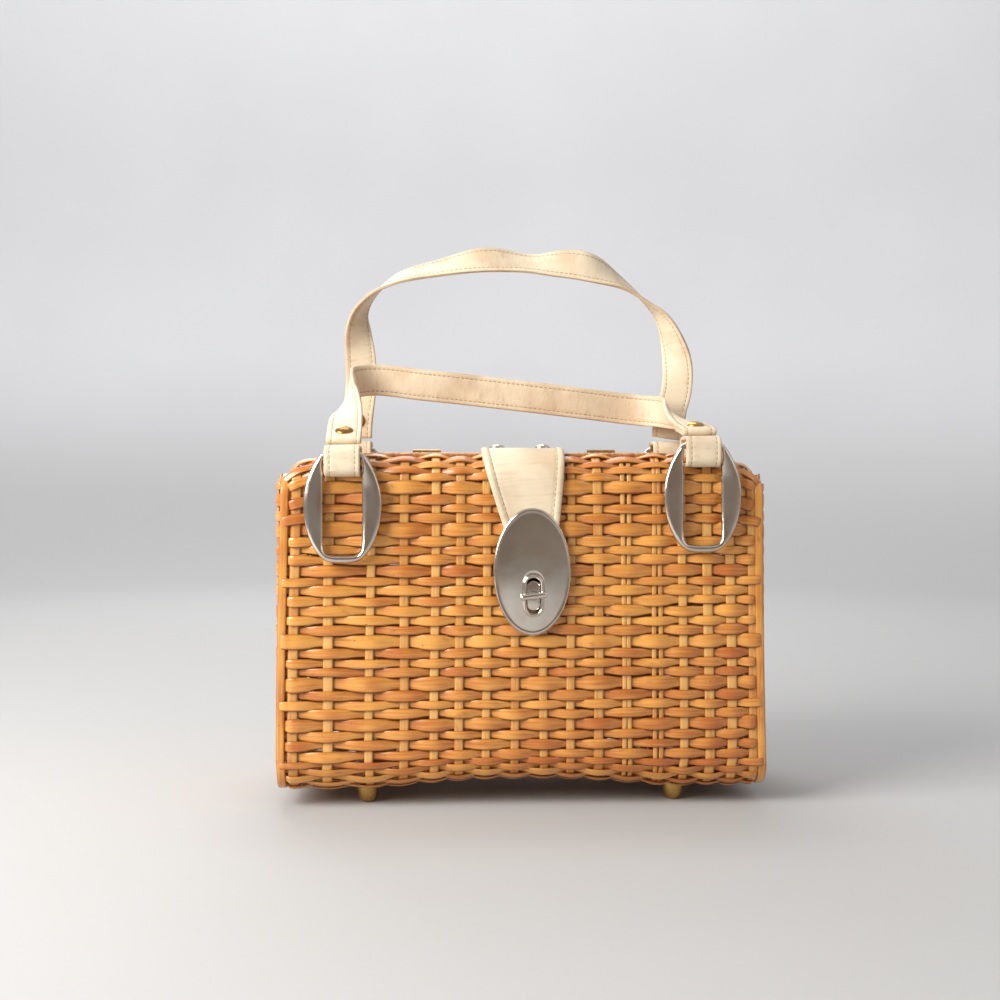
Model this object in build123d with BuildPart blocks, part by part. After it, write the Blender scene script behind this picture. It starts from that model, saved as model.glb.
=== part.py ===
from build123d import *

import math
import os

# ---------------------------------------------------------------------------
# Woven basket box bag: a stiff cane box on four brass feet, a hatch lid in its
# top, a leather tab with an oval turn lock, four metal rings and two strap
# handles. Millimetres. +X is the bag's right, -Y its front, +Z up. The origin
# is on the table under the middle of the bag.
# ---------------------------------------------------------------------------

# the woven box
BODY_WIDTH = 246.0  # between the four upright corners
BODY_DEPTH = 110.0
BODY_HEIGHT = 172.0
END_BULGE = 4.0  # how far each end swells past its corners
WALL = 5.0  # weavers over stakes
LONG_EDGE_ROUND = 15.0  # roll of the long top and bottom edges
END_EDGE_ROUND = 5.0  # roll of the edges round each end

# the feet
FOOT_HEIGHT = 10.0
FOOT_TOP_RADIUS = 6.0
FOOT_TIP_RADIUS = 3.5
FOOT_SPREAD_X = 160.0
FOOT_SPREAD_Y = 70.0
FOOT_SHANK_RADIUS = 1.5
FOOT_SHANK_PAST = 3.0  # shank that shows inside the floor
FOOT_NUT_RADIUS = 3.5
FOOT_NUT_HEIGHT = 2.0
FOOT_WASHER_RADIUS = 5.0
FOOT_WASHER_THICK = 0.8

# the mouth and its lid
MOUTH_WIDTH = 148.0
MOUTH_FRONT = -40.0
MOUTH_BACK = 31.0
MOUTH_CORNER = 8.0
LID_GAP = 0.6  # all round between lid and mouth
HOOP_RADIUS = 2.0  # rattan rod that the lid rests on
HOOP_SEAT = 0.1  # from the hoop up to the lid and the wall

# the lid's two butt hinges
HINGE_SPACING = 100.0
HINGE_WIDTH = 16.0
HINGE_LEAF = 8.0
HINGE_LEAF_THICK = 0.9
KNUCKLE_RADIUS = 1.7
HINGE_PIN_RADIUS = 0.9
HINGE_FIT = 0.06  # radial play of the pin in the turning leaf
KNUCKLE_GAP = 0.2
KNUCKLE_LIFT = 0.2  # from the wall's top up to the knuckle

# leather
PLY = 2.0
STRAP_WIDTH = 18.0
SOFT_GAP = 0.4  # leather to whatever it lies against

# rings: upright, with a round bar across the top and the bottom
RING_HEIGHT = 57.0
RING_STRAP_PLAY = 1.5  # by how much the opening is wider than the strap
RING_BAND = 10.25  # width of each flat side at its middle
RING_SHOULDER_MORE = 2.5  # by how much the outline across the bars is wider than the opening
RING_BAR_RADIUS = 2.0
RING_THICK = 2.4
RING_STANDOFF = 3.0  # from the wall to the middle of the bar
RING_RISE = {"front_left": 0.5, "front_right": 5.5, "back_left": 6.5, "back_right": 6.5}
MOUTH_TO_STRAP = 8.4  # from the side of the mouth to the nearest strap loop

# the strap loops that hold a ring against the rim
LOOP_DROP = 13.2  # from the ring's top to the loop's lowest face
LOOP_INSET = 20.8  # from the loop's outer face back to its inner face
LOOP_OVER_RING = 0.3
LOOP_CORNER = 3.0
LOOP_SIDE_GAP = 0.3  # between the strap and the slot that it passes through
TOP_NEAR_Y = 48.0  # near edge of the back handle's top
HANDLE_SETBACK = 5.0  # handle axis from the wall's outer face, inwards
NOSE_GAP = 0.5  # rounded end of a handle to the top of its loop
RIVET_UP = 9.5  # rivet from the handle axis along the strap
RIVET_RADIUS = 4.0
RIVET_DOME = 1.6
RIVET_SEAT = 0.3  # from the leather to the rivet's head

# clasp
TAB_WIDTH_TOP = 42.7
TAB_WIDTH_PLATE = 27.8
TAB_TOP_X = 0.3
TAB_ROOT_LENGTH = 20.0
TAB_FOLD_GAP = 0.3  # between the tab's root and its flap
STUD_SPACING = 23.8
STUD_SETBACK = 9.0  # from the mouth's front edge to the studs
STUD_RADIUS = 4.25
STUD_DOME = 2.2
STUD_SHANK_RADIUS = 1.2
STUD_WASHER_RADIUS = 4.0
STUD_WASHER_THICK = 0.8
PLATE_WIDTH = 39.6
PLATE_HEIGHT = 65.0
PLATE_THICK = 1.2
PLATE_X = 4.5
PLATE_DROP = 61.0  # middle of the plate below the top of the box
LOCK_X = 5.0
LOCK_DROP = 73.0
EYELET_WIDTH = 10.7
EYELET_HEIGHT = 21.4
EYELET_RIM = 1.0
EYELET_PROUD = 1.3
BOSS_WIDTH = 7.4
BOSS_HEIGHT = 15.6
LOCK_PLATE_THICK = 0.3
LOCK_PLATE_WIDTH = 18.0
LOCK_PLATE_HEIGHT = 30.0
KNOB_LENGTH = 14.0
KNOB_HEIGHT = 3.6
KNOB_THICK = 3.4
SPINDLE_RADIUS = 1.6
SPINDLE_FIT = 0.06
BACKPLATE_THICK = 1.0

BODY_BOTTOM = FOOT_HEIGHT
BODY_TOP = BODY_BOTTOM + BODY_HEIGHT
BODY_MIDDLE = BODY_BOTTOM + BODY_HEIGHT / 2
FACE_Y = BODY_DEPTH / 2  # outer face of the front and back walls
RING_OPENING = STRAP_WIDTH + RING_STRAP_PLAY
RING_WIDTH = RING_OPENING + 2 * RING_BAND
RING_SHOULDER = RING_OPENING + RING_SHOULDER_MORE
RING_X = MOUTH_WIDTH / 2 + MOUTH_TO_STRAP + STRAP_WIDTH / 2
RING_TOP = {name: BODY_TOP + rise for name, rise in RING_RISE.items()}
PLATE_Z = BODY_TOP - PLATE_DROP
LOCK_Z = BODY_TOP - LOCK_DROP
SIDES = {"left": -1, "right": 1}

os.makedirs("parts", exist_ok=True)
written = []


def write(part, label):
    """Labels a finished piece and writes it to its own file."""
    part.label = label
    export_step(part, f"parts/{label}.step")
    written.append(label)


def box_form(inset):
    """The closed form of the box, this far inside its outer surface."""
    half_x = BODY_WIDTH / 2 - inset
    half_y = BODY_DEPTH / 2 - inset
    with BuildPart() as form:
        with BuildSketch(Plane.YZ):
            with Locations((0, BODY_MIDDLE)):
                RectangleRounded(
                    BODY_DEPTH - 2 * inset, BODY_HEIGHT - 2 * inset, LONG_EDGE_ROUND - inset
                )
        extrude(amount=BODY_WIDTH, both=True)
        with BuildSketch():
            with BuildLine():
                Line((-half_x, half_y), (half_x, half_y))
                ThreePointArc((half_x, half_y), (half_x + END_BULGE, 0), (half_x, -half_y))
                Line((half_x, -half_y), (-half_x, -half_y))
                ThreePointArc((-half_x, -half_y), (-half_x - END_BULGE, 0), (-half_x, half_y))
            plan = make_face()
            fillet(plan.vertices(), END_EDGE_ROUND - inset / 2)
        extrude(amount=2 * BODY_TOP, mode=Mode.INTERSECT)
        with BuildSketch(Plane.XZ):
            with Locations((0, BODY_MIDDLE)):
                RectangleRounded(
                    BODY_WIDTH + 2 * END_BULGE - 2 * inset,
                    BODY_HEIGHT - 2 * inset,
                    END_EDGE_ROUND + END_BULGE - inset,
                )
        extrude(amount=BODY_DEPTH, both=True, mode=Mode.INTERSECT)
    return form.part


def ring_centre_y(row):
    """Middle of a ring's bar, in front of the front wall or behind the back one."""
    return row * (FACE_Y + RING_STANDOFF)


def loop_outline(name, grow):
    """Closed outline of a strap loop in Y and Z, for the front row."""
    outer = -(FACE_Y + RING_STANDOFF + RING_BAR_RADIUS + LOOP_OVER_RING + PLY) - grow
    inner = outer + LOOP_INSET + 2 * grow
    top = RING_TOP[name] + LOOP_OVER_RING + PLY + grow
    bottom = RING_TOP[name] - LOOP_DROP - grow
    return [(outer, bottom), (outer, top), (inner, top), (inner, bottom)]


def loop_band(name, side, row, grow):
    """The folded strap that goes round a ring's bar and the rim of the box."""
    outline = [(-row * y, z) for y, z in loop_outline(name, grow)]
    with BuildPart() as band:
        with BuildSketch(Plane.YZ.offset(side * RING_X - STRAP_WIDTH / 2 - grow)):
            with BuildLine():
                FilletPolyline(*outline, radius=LOOP_CORNER + grow, close=True)
            make_face()
            offset(amount=-PLY - 2 * grow, mode=Mode.SUBTRACT)
        extrude(amount=STRAP_WIDTH + 2 * grow)
    return band.part


def handle_axis(name, side, row):
    """Where the strap bends at the top of its loop."""
    z = RING_TOP[name] + LOOP_OVER_RING + PLY + NOSE_GAP + PLY
    return Vector(side * RING_X, row * (FACE_Y - HANDLE_SETBACK), z)


# --- the woven box ---------------------------------------------------------
LOOPS = [
    (f"{row_name}_{side_name}", side, row)
    for row_name, row in (("front", -1), ("back", 1))
    for side_name, side in SIDES.items()
]
FEET = GridLocations(FOOT_SPREAD_X, FOOT_SPREAD_Y, 2, 2)

outer_form = box_form(0)
inner_form = box_form(WALL)
mouth_middle = (MOUTH_FRONT + MOUTH_BACK) / 2
mouth_depth = MOUTH_BACK - MOUTH_FRONT

with BuildPart() as basket_body:
    add(outer_form)
    add(inner_form, mode=Mode.SUBTRACT)
    with BuildSketch(Plane.XY.offset(BODY_TOP - 2 * WALL)):
        with Locations((0, mouth_middle)):
            RectangleRounded(MOUTH_WIDTH, mouth_depth, MOUTH_CORNER)
    extrude(amount=3 * WALL, mode=Mode.SUBTRACT)
    for name, side, row in LOOPS:
        add(loop_band(name, side, row, LOOP_SIDE_GAP), mode=Mode.SUBTRACT)
    with BuildSketch(Plane.XY):
        with FEET:
            Circle(FOOT_SHANK_RADIUS + SPINDLE_FIT)
    extrude(amount=BODY_BOTTOM + 2 * WALL, mode=Mode.SUBTRACT)
    with BuildSketch(Plane.XZ.offset(FACE_Y + WALL)):
        with Locations((LOCK_X, LOCK_Z)):
            Circle(SPINDLE_RADIUS + SPINDLE_FIT)
    extrude(amount=-4 * WALL, mode=Mode.SUBTRACT)
write(basket_body.part, "basket_body")

# --- rattan hoop under the mouth, which the lid rests on ---------------------
hoop_z = BODY_TOP - WALL - HOOP_RADIUS - HOOP_SEAT
half_mouth = MOUTH_WIDTH / 2
with BuildPart() as rim_hoop:
    with BuildLine(Plane.XY.offset(hoop_z)):
        FilletPolyline(
            (-half_mouth, MOUTH_FRONT, 0),
            (half_mouth, MOUTH_FRONT, 0),
            (half_mouth, MOUTH_BACK, 0),
            (-half_mouth, MOUTH_BACK, 0),
            radius=MOUTH_CORNER,
            close=True,
        )
    with BuildSketch(Plane(origin=(0, MOUTH_FRONT, hoop_z), z_dir=(1, 0, 0))):
        Circle(HOOP_RADIUS)
    sweep()
write(rim_hoop.part, "rim_hoop")

# --- lid --------------------------------------------------------------------
stud_y = MOUTH_FRONT + STUD_SETBACK
STUDS = {
    side_name: (TAB_TOP_X - LID_GAP + side * STUD_SPACING / 2, stud_y)
    for side_name, side in SIDES.items()
}
with BuildPart() as lid:
    with BuildSketch(Plane.XY.offset(BODY_TOP - WALL)):
        with Locations((0, mouth_middle)):
            RectangleRounded(
                MOUTH_WIDTH - 2 * LID_GAP, mouth_depth - 2 * LID_GAP, MOUTH_CORNER - LID_GAP
            )
        with Locations(*STUDS.values()):
            Circle(STUD_SHANK_RADIUS + SPINDLE_FIT, mode=Mode.SUBTRACT)
    extrude(amount=WALL)
write(lid.part, "lid")

# --- two butt hinges: a leaf on the box, a leaf on the lid and a pin ----------
hinge_z = BODY_TOP + KNUCKLE_LIFT + KNUCKLE_RADIUS
third = HINGE_WIDTH / 3
for side_name, side in SIDES.items():
    hinge_x = side * HINGE_SPACING / 2
    knuckle_plane = Plane(origin=(hinge_x, MOUTH_BACK, hinge_z), x_dir=(0, 1, 0), z_dir=(1, 0, 0))
    with BuildPart() as body_leaf:
        with BuildSketch(Plane.XY.offset(BODY_TOP)):
            with Locations((hinge_x, MOUTH_BACK + HINGE_LEAF / 2)):
                Rectangle(HINGE_WIDTH, HINGE_LEAF)
        extrude(amount=HINGE_LEAF_THICK)
        with BuildSketch(knuckle_plane.offset(-HINGE_WIDTH / 2)):
            Circle(KNUCKLE_RADIUS)
        extrude(amount=HINGE_WIDTH)
        with BuildSketch(knuckle_plane.offset(-third / 2 - KNUCKLE_GAP)):
            Rectangle(4 * KNUCKLE_RADIUS, 4 * KNUCKLE_RADIUS)
        extrude(amount=third + 2 * KNUCKLE_GAP, mode=Mode.SUBTRACT)
        with BuildSketch(knuckle_plane.offset(-HINGE_WIDTH / 2)):
            Circle(HINGE_PIN_RADIUS)
        extrude(amount=HINGE_WIDTH, mode=Mode.SUBTRACT)
    write(body_leaf.part, f"hinge_{side_name}_body_leaf")
    with BuildPart() as lid_leaf:
        with BuildSketch(Plane.XY.offset(BODY_TOP)):
            with Locations((hinge_x, MOUTH_BACK - KNUCKLE_RADIUS - HINGE_LEAF / 2)):
                Rectangle(HINGE_WIDTH, HINGE_LEAF)
            with Locations((hinge_x, MOUTH_BACK - KNUCKLE_RADIUS)):
                Rectangle(third, 2 * KNUCKLE_RADIUS)
        extrude(amount=HINGE_LEAF_THICK)
        with BuildSketch(knuckle_plane.offset(-third / 2)):
            Circle(KNUCKLE_RADIUS)
        extrude(amount=third)
        with BuildSketch(knuckle_plane.offset(-third / 2)):
            Circle(HINGE_PIN_RADIUS + HINGE_FIT)
        extrude(amount=third, mode=Mode.SUBTRACT)
    write(lid_leaf.part, f"hinge_{side_name}_lid_leaf")
    with BuildPart() as hinge_pin:
        with BuildSketch(knuckle_plane.offset(-HINGE_WIDTH / 2)):
            Circle(HINGE_PIN_RADIUS)
        extrude(amount=HINGE_WIDTH)
    write(hinge_pin.part, f"hinge_{side_name}_pin")

# --- leather tab: a root on the lid, and the flap that hangs over the front ---
tab_top = BODY_TOP + SOFT_GAP + PLY
tab_corner = FACE_Y - LONG_EDGE_ROUND  # where the top starts to roll over
tab_inner = LONG_EDGE_ROUND + SOFT_GAP
tab_outer = tab_inner + PLY
roll_z = BODY_TOP - LONG_EDGE_ROUND
tab_end_z = PLATE_Z - PLATE_HEIGHT / 2 + 6 * PLY
plate_back = FACE_Y + SOFT_GAP + PLY  # distance of the plate's back face from the middle

with BuildPart() as tab_root:
    with BuildSketch(Plane.XY.offset(BODY_TOP)):
        with Locations((TAB_TOP_X, MOUTH_FRONT + TAB_ROOT_LENGTH / 2 + TAB_FOLD_GAP / 2)):
            Rectangle(TAB_WIDTH_TOP, TAB_ROOT_LENGTH - TAB_FOLD_GAP)
        with Locations(*STUDS.values()):
            Circle(STUD_SHANK_RADIUS + SPINDLE_FIT, mode=Mode.SUBTRACT)
    extrude(amount=SOFT_GAP + PLY)
write(tab_root.part, "tab_root")

with BuildPart() as clasp_tab:
    with BuildSketch(Plane.YZ):
        with BuildLine():
            Line((-tab_corner, tab_top), (-tab_corner, tab_top - PLY))
            ThreePointArc(
                (-tab_corner, roll_z + tab_inner),
                (-tab_corner - tab_inner * math.sin(math.pi / 4), roll_z + tab_inner * math.cos(math.pi / 4)),
                (-tab_corner - tab_inner, roll_z),
            )
            Line((-tab_corner - tab_inner, roll_z), (-tab_corner - tab_inner, tab_end_z))
            Line((-tab_corner - tab_inner, tab_end_z), (-tab_corner - tab_outer, tab_end_z))
            Line((-tab_corner - tab_outer, tab_end_z), (-tab_corner - tab_outer, roll_z))
            ThreePointArc(
                (-tab_corner - tab_outer, roll_z),
                (-tab_corner - tab_outer * math.sin(math.pi / 4), roll_z + tab_outer * math.cos(math.pi / 4)),
                (-tab_corner, roll_z + tab_outer),
            )
        make_face()
    extrude(amount=TAB_WIDTH_TOP, both=True)
    with BuildSketch(Plane.XZ.offset(-BODY_DEPTH)):
        with BuildLine():
            Polyline(
                (TAB_TOP_X - TAB_WIDTH_TOP / 2, tab_top + PLY),
                (TAB_TOP_X + TAB_WIDTH_TOP / 2, tab_top + PLY),
                (TAB_TOP_X + TAB_WIDTH_TOP / 2, roll_z + LONG_EDGE_ROUND),
                (PLATE_X + TAB_WIDTH_PLATE / 2, PLATE_Z + PLATE_HEIGHT / 3),
                (PLATE_X + TAB_WIDTH_PLATE / 2, tab_end_z - PLY),
                (PLATE_X - TAB_WIDTH_PLATE / 2, tab_end_z - PLY),
                (PLATE_X - TAB_WIDTH_PLATE / 2, PLATE_Z + PLATE_HEIGHT / 3),
                (TAB_TOP_X - TAB_WIDTH_TOP / 2, roll_z + LONG_EDGE_ROUND),
                close=True,
            )
        make_face()
        with Locations((LOCK_X, LOCK_Z)):
            SlotOverall(EYELET_HEIGHT, EYELET_WIDTH, rotation=90, mode=Mode.SUBTRACT)
    extrude(amount=2 * BODY_DEPTH, mode=Mode.INTERSECT)
write(clasp_tab.part, "clasp_tab")

for side_name, (stud_x, y) in STUDS.items():
    with BuildPart() as stud:
        with BuildSketch(Plane.XY.offset(tab_top)):
            with Locations((stud_x, y)):
                Circle(STUD_RADIUS)
        extrude(amount=STUD_DOME)
        fillet(stud.faces().sort_by(Axis.Z)[-1].edges(), 0.9 * STUD_DOME)
        with BuildSketch(Plane.XY.offset(BODY_TOP - WALL - STUD_WASHER_THICK)):
            with Locations((stud_x, y)):
                Circle(STUD_SHANK_RADIUS)
        extrude(amount=WALL + STUD_WASHER_THICK + SOFT_GAP + PLY)
    write(stud.part, f"tab_stud_{side_name}")

with BuildPart() as stud_washers:
    with BuildSketch(Plane.XY.offset(BODY_TOP - WALL - STUD_WASHER_THICK)):
        with Locations(*STUDS.values()):
            Circle(STUD_WASHER_RADIUS)
            Circle(STUD_SHANK_RADIUS, mode=Mode.SUBTRACT)
    extrude(amount=STUD_WASHER_THICK)
write(stud_washers.part, "tab_stud_washers")

# --- oval plate and the eyelet round its slot ---------------------------------
plate_plane = Plane(origin=(PLATE_X, -plate_back, PLATE_Z), x_dir=(1, 0, 0), z_dir=(0, -1, 0))
slot_plane = Plane(origin=(LOCK_X, -plate_back, LOCK_Z), x_dir=(0, 0, 1), z_dir=(0, -1, 0))
with BuildPart() as clasp_plate:
    with BuildSketch(plate_plane):
        Ellipse(PLATE_WIDTH / 2, PLATE_HEIGHT / 2)
    extrude(amount=PLATE_THICK)
    chamfer(clasp_plate.faces().sort_by(Axis.Y)[0].edges(), PLATE_THICK / 3)
    with BuildSketch(slot_plane):
        SlotOverall(EYELET_HEIGHT - EYELET_RIM, EYELET_WIDTH - EYELET_RIM)
    extrude(amount=2 * PLATE_THICK, mode=Mode.SUBTRACT)
write(clasp_plate.part, "clasp_plate")

with BuildPart() as clasp_eyelet:
    with BuildSketch(slot_plane.offset(PLATE_THICK)):
        SlotOverall(EYELET_HEIGHT, EYELET_WIDTH)
    extrude(amount=EYELET_PROUD)
    fillet(clasp_eyelet.faces().sort_by(Axis.Y)[0].edges(), EYELET_RIM / 2)
    with BuildSketch(slot_plane):
        SlotOverall(EYELET_HEIGHT - EYELET_RIM, EYELET_WIDTH - EYELET_RIM)
    extrude(amount=PLATE_THICK)
    with BuildSketch(slot_plane):
        SlotOverall(EYELET_HEIGHT - 2 * EYELET_RIM, EYELET_WIDTH - 2 * EYELET_RIM)
    extrude(amount=3 * PLATE_THICK, mode=Mode.SUBTRACT)
write(clasp_eyelet.part, "clasp_eyelet")

# --- turn lock: base on the wall, turning bar, plate inside --------------------
wall_plane = Plane(origin=(LOCK_X, -FACE_Y, LOCK_Z), x_dir=(0, 0, 1), z_dir=(0, -1, 0))
boss_top = plate_back - FACE_Y + PLATE_THICK + EYELET_PROUD / 2
with BuildPart() as lock_base:
    with BuildSketch(wall_plane):
        SlotOverall(LOCK_PLATE_HEIGHT, LOCK_PLATE_WIDTH)
    extrude(amount=LOCK_PLATE_THICK)
    with BuildSketch(wall_plane.offset(LOCK_PLATE_THICK)):
        SlotOverall(BOSS_HEIGHT, BOSS_WIDTH)
    extrude(amount=boss_top - LOCK_PLATE_THICK)
    with BuildSketch(wall_plane):
        Circle(SPINDLE_RADIUS + SPINDLE_FIT)
    extrude(amount=boss_top, mode=Mode.SUBTRACT)
write(lock_base.part, "lock_base")

knob_back = boss_top + EYELET_PROUD
with BuildPart() as lock_knob:
    with BuildSketch(
        Plane(origin=(LOCK_X, -FACE_Y - knob_back, LOCK_Z), x_dir=(1, 0, 0), z_dir=(0, -1, 0))
    ):
        SlotOverall(KNOB_LENGTH, KNOB_HEIGHT)
    extrude(amount=KNOB_THICK)
    fillet(lock_knob.faces().sort_by(Axis.Y)[0].edges(), KNOB_HEIGHT / 4)
    with BuildSketch(wall_plane.offset(-WALL - BACKPLATE_THICK)):
        Circle(SPINDLE_RADIUS)
    extrude(amount=knob_back + WALL + BACKPLATE_THICK)
write(lock_knob.part, "lock_knob")

with BuildPart() as lock_backplate:
    with BuildSketch(wall_plane.offset(-WALL - BACKPLATE_THICK)):
        SlotOverall(LOCK_PLATE_HEIGHT, LOCK_PLATE_WIDTH)
        Circle(SPINDLE_RADIUS + SPINDLE_FIT, mode=Mode.SUBTRACT)
    extrude(amount=BACKPLATE_THICK)
write(lock_backplate.part, "lock_backplate")

# --- feet, with their washers and nuts inside the floor ------------------------
floor_top = BODY_BOTTOM + WALL
foot_names = ["foot_front_left", "foot_back_left", "foot_front_right", "foot_back_right"]
for name, spot in zip(foot_names, FEET):
    x, y = spot.position.X, spot.position.Y
    with BuildPart() as foot:
        with BuildSketch(Plane.XZ.offset(-y)):
            with BuildLine():
                Polyline(
                    (x, 0),
                    (x + FOOT_TIP_RADIUS - 1, 0),
                    (x + FOOT_TIP_RADIUS, 1),
                    (x + FOOT_TOP_RADIUS, FOOT_HEIGHT - 2),
                    (x + FOOT_TOP_RADIUS, FOOT_HEIGHT),
                    (x, FOOT_HEIGHT),
                    close=True,
                )
            make_face()
        revolve(axis=Axis((x, y, 0), (0, 0, 1)))
        with BuildSketch(Plane.XY.offset(FOOT_HEIGHT)):
            with Locations((x, y)):
                Circle(FOOT_SHANK_RADIUS)
        extrude(amount=WALL + FOOT_SHANK_PAST)
    write(foot.part, name)

with BuildPart() as foot_washers:
    with BuildSketch(Plane.XY.offset(floor_top)):
        with FEET:
            Circle(FOOT_WASHER_RADIUS)
            Circle(FOOT_SHANK_RADIUS, mode=Mode.SUBTRACT)
    extrude(amount=FOOT_WASHER_THICK)
write(foot_washers.part, "foot_washers")

with BuildPart() as foot_nuts:
    with BuildSketch(Plane.XY.offset(floor_top + FOOT_WASHER_THICK)):
        with FEET:
            RegularPolygon(FOOT_NUT_RADIUS, 6)
            Circle(FOOT_SHANK_RADIUS, mode=Mode.SUBTRACT)
    extrude(amount=FOOT_NUT_HEIGHT)
write(foot_nuts.part, "foot_nuts")

# --- rings and the strap loops that hold them to the rim ------------------------
for name, side, row in LOOPS:
    bar_z = RING_TOP[name] - RING_BAR_RADIUS
    middle_z = RING_TOP[name] - RING_HEIGHT / 2
    half_height = RING_HEIGHT / 2
    with BuildPart() as ring:
        with BuildSketch(
            Plane(
                origin=(side * RING_X, ring_centre_y(row) + RING_THICK / 2, middle_z),
                x_dir=(1, 0, 0),
                z_dir=(0, -1, 0),
            )
        ):
            with BuildLine():
                ThreePointArc(
                    (-RING_SHOULDER / 2, half_height - RING_BAR_RADIUS / 2),
                    (-RING_WIDTH / 2, 0),
                    (-RING_SHOULDER / 2, -half_height + RING_BAR_RADIUS / 2),
                )
                Line(
                    (-RING_SHOULDER / 2, -half_height + RING_BAR_RADIUS / 2),
                    (RING_SHOULDER / 2, -half_height + RING_BAR_RADIUS / 2),
                )
                ThreePointArc(
                    (RING_SHOULDER / 2, -half_height + RING_BAR_RADIUS / 2),
                    (RING_WIDTH / 2, 0),
                    (RING_SHOULDER / 2, half_height - RING_BAR_RADIUS / 2),
                )
                Line(
                    (RING_SHOULDER / 2, half_height - RING_BAR_RADIUS / 2),
                    (-RING_SHOULDER / 2, half_height - RING_BAR_RADIUS / 2),
                )
            make_face()
            Rectangle(RING_OPENING, RING_HEIGHT, mode=Mode.SUBTRACT)
        extrude(amount=RING_THICK)
        for z in (bar_z, RING_TOP[name] - RING_HEIGHT + RING_BAR_RADIUS):
            with BuildSketch(
                Plane(
                    origin=(side * RING_X - RING_SHOULDER / 2, ring_centre_y(row), z),
                    x_dir=(0, 1, 0),
                    z_dir=(1, 0, 0),
                )
            ):
                Circle(RING_BAR_RADIUS)
            extrude(amount=RING_SHOULDER)
    write(ring.part, f"ring_{name}")
    write(loop_band(name, side, row, 0), f"strap_loop_{name}")


# --- handles ---------------------------------------------------------------------
def sections_of(stations):
    """A plane across the strap at each station: X over its width, Y to its inner side."""
    centres = [Vector(*centre) for centre, across in stations]
    last = len(centres) - 1
    planes = []
    for i, (centre, across) in enumerate(stations):
        along = centres[min(i + 1, last)] - centres[max(i - 1, 0)]
        if i in (0, last):
            along = Vector(0, along.Y, along.Z)  # both feet lie square on the axis
        along = along.normalized()
        across = Vector(*across)
        across = across - along * across.dot(along)
        planes.append(Plane(origin=centres[i], x_dir=across, z_dir=along))
    return planes


def ply_through(planes, low, high):
    """A length of strap through these planes, from low to high on its inner side."""
    with BuildPart() as ply:
        for plane in planes:
            with BuildSketch(plane):
                with Locations((0, (low + high) / 2)):
                    Rectangle(STRAP_WIDTH, high - low)
        loft(ruled=True)
    return ply.part


def turned(start, end, degrees):
    """Unit direction turned from one axis towards another."""
    angle = math.radians(degrees)
    return tuple(a * math.cos(angle) + b * math.sin(angle) for a, b in zip(start, end))


X, Y, Z = (1, 0, 0), (0, 1, 0), (0, 0, 1)
MINUS_X, MINUS_Y, MINUS_Z = (-1, 0, 0), (0, -1, 0), (0, 0, -1)


def rise(start, offsets, from_axis, to_axis):
    """Stations of one leg: steps from its foot, each with its twist in degrees."""
    return [
        ((start.X + dx, start.Y + dy, start.Z + dz), turned(from_axis, to_axis, twist))
        for dx, dy, dz, twist in offsets
    ]


front_left = handle_axis("front_left", -1, -1)
front_right = handle_axis("front_right", 1, -1)
back_left = handle_axis("back_left", -1, 1)
back_right = handle_axis("back_right", 1, 1)

# each leg has its rivet at the second station and its cut end at the third
# the front handle has fallen back over the lid, close to the back one
front_stations = rise(
    front_left,
    [
        (0, 0, 0, 0),
        (-0.3, RIVET_UP, 3.9, 0),
        (-0.5, 16, 6.9, 0),
        (-0.8, 31, 13.5, 12),
        (-0.9, 46, 20.2, 38),
        (-0.9, 62, 27.2, 67),
        (-0.4, 76, 33.6, 84),
        (1.2, 84, 37.0, 90),
        (6.5, 88.5, 38.4, 90),
    ],
    X,
    Z,
)
front_stations += [
    ((-50, 39.5, BODY_TOP + 41.0), Z),
    ((-10, 40.0, BODY_TOP + 36.8), Z),
    ((35, 39.8, BODY_TOP + 31.6), Z),
]
front_stations += rise(
    front_right,
    [
        (-13.2, 88.5, 16.2, 90),
        (-8.6, 84, 15.6, 90),
        (-7.2, 76, 14.6, 84),
        (-5.9, 62, 12.2, 67),
        (-4.2, 46, 9.2, 38),
        (-2.6, 31, 6.3, 12),
        (-1.2, 16, 3.3, 0),
        (-0.6, RIVET_UP, 2.0, 0),
        (0, 0, 0, 0),
    ],
    MINUS_X,
    Z,
)

# the back handle stands up
back_stations = rise(
    back_left,
    [
        (0, 0, 0, 0),
        (-0.9, 0.6, RIVET_UP, 0),
        (-2.0, 1.2, 17, 0),
        (-5.2, 3.0, 31, 10),
        (-7.6, 5.0, 49, 48),
        (-8.3, 6.4, 63, 80),
        (-5.0, 7.0, 73, 90),
        (3.2, 7.0, 80.5, 90),
    ],
    MINUS_X,
    MINUS_Y,
)
# along the top the near edge is set, and the far edge stands up by the tilt in degrees
for x, up, tilt in [
    (-70, 99.5, 22),
    (-42, 105.0, 40),
    (-15, 107.8, 59),
    (12, 107.2, 44),
    (42, 103.2, 80),
    (66, 97.5, 30),
    (79, 90.5, 10),
]:
    across = turned(MINUS_Y, MINUS_Z, tilt)
    near = Vector(x, TOP_NEAR_Y, BODY_TOP + up)
    back_stations.append((tuple(near - Vector(*across) * STRAP_WIDTH / 2), across))
back_stations += rise(
    back_right,
    [
        (-3.2, 7.0, 70.5, 90),
        (3.2, 6.4, 58, 84),
        (7.0, 5.4, 44, 58),
        (6.8, 3.6, 30, 22),
        (3.4, 1.4, 17, 0),
        (1.6, 0.6, RIVET_UP, 0),
        (0, 0, 0, 0),
    ],
    X,
    MINUS_Y,
)

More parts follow.
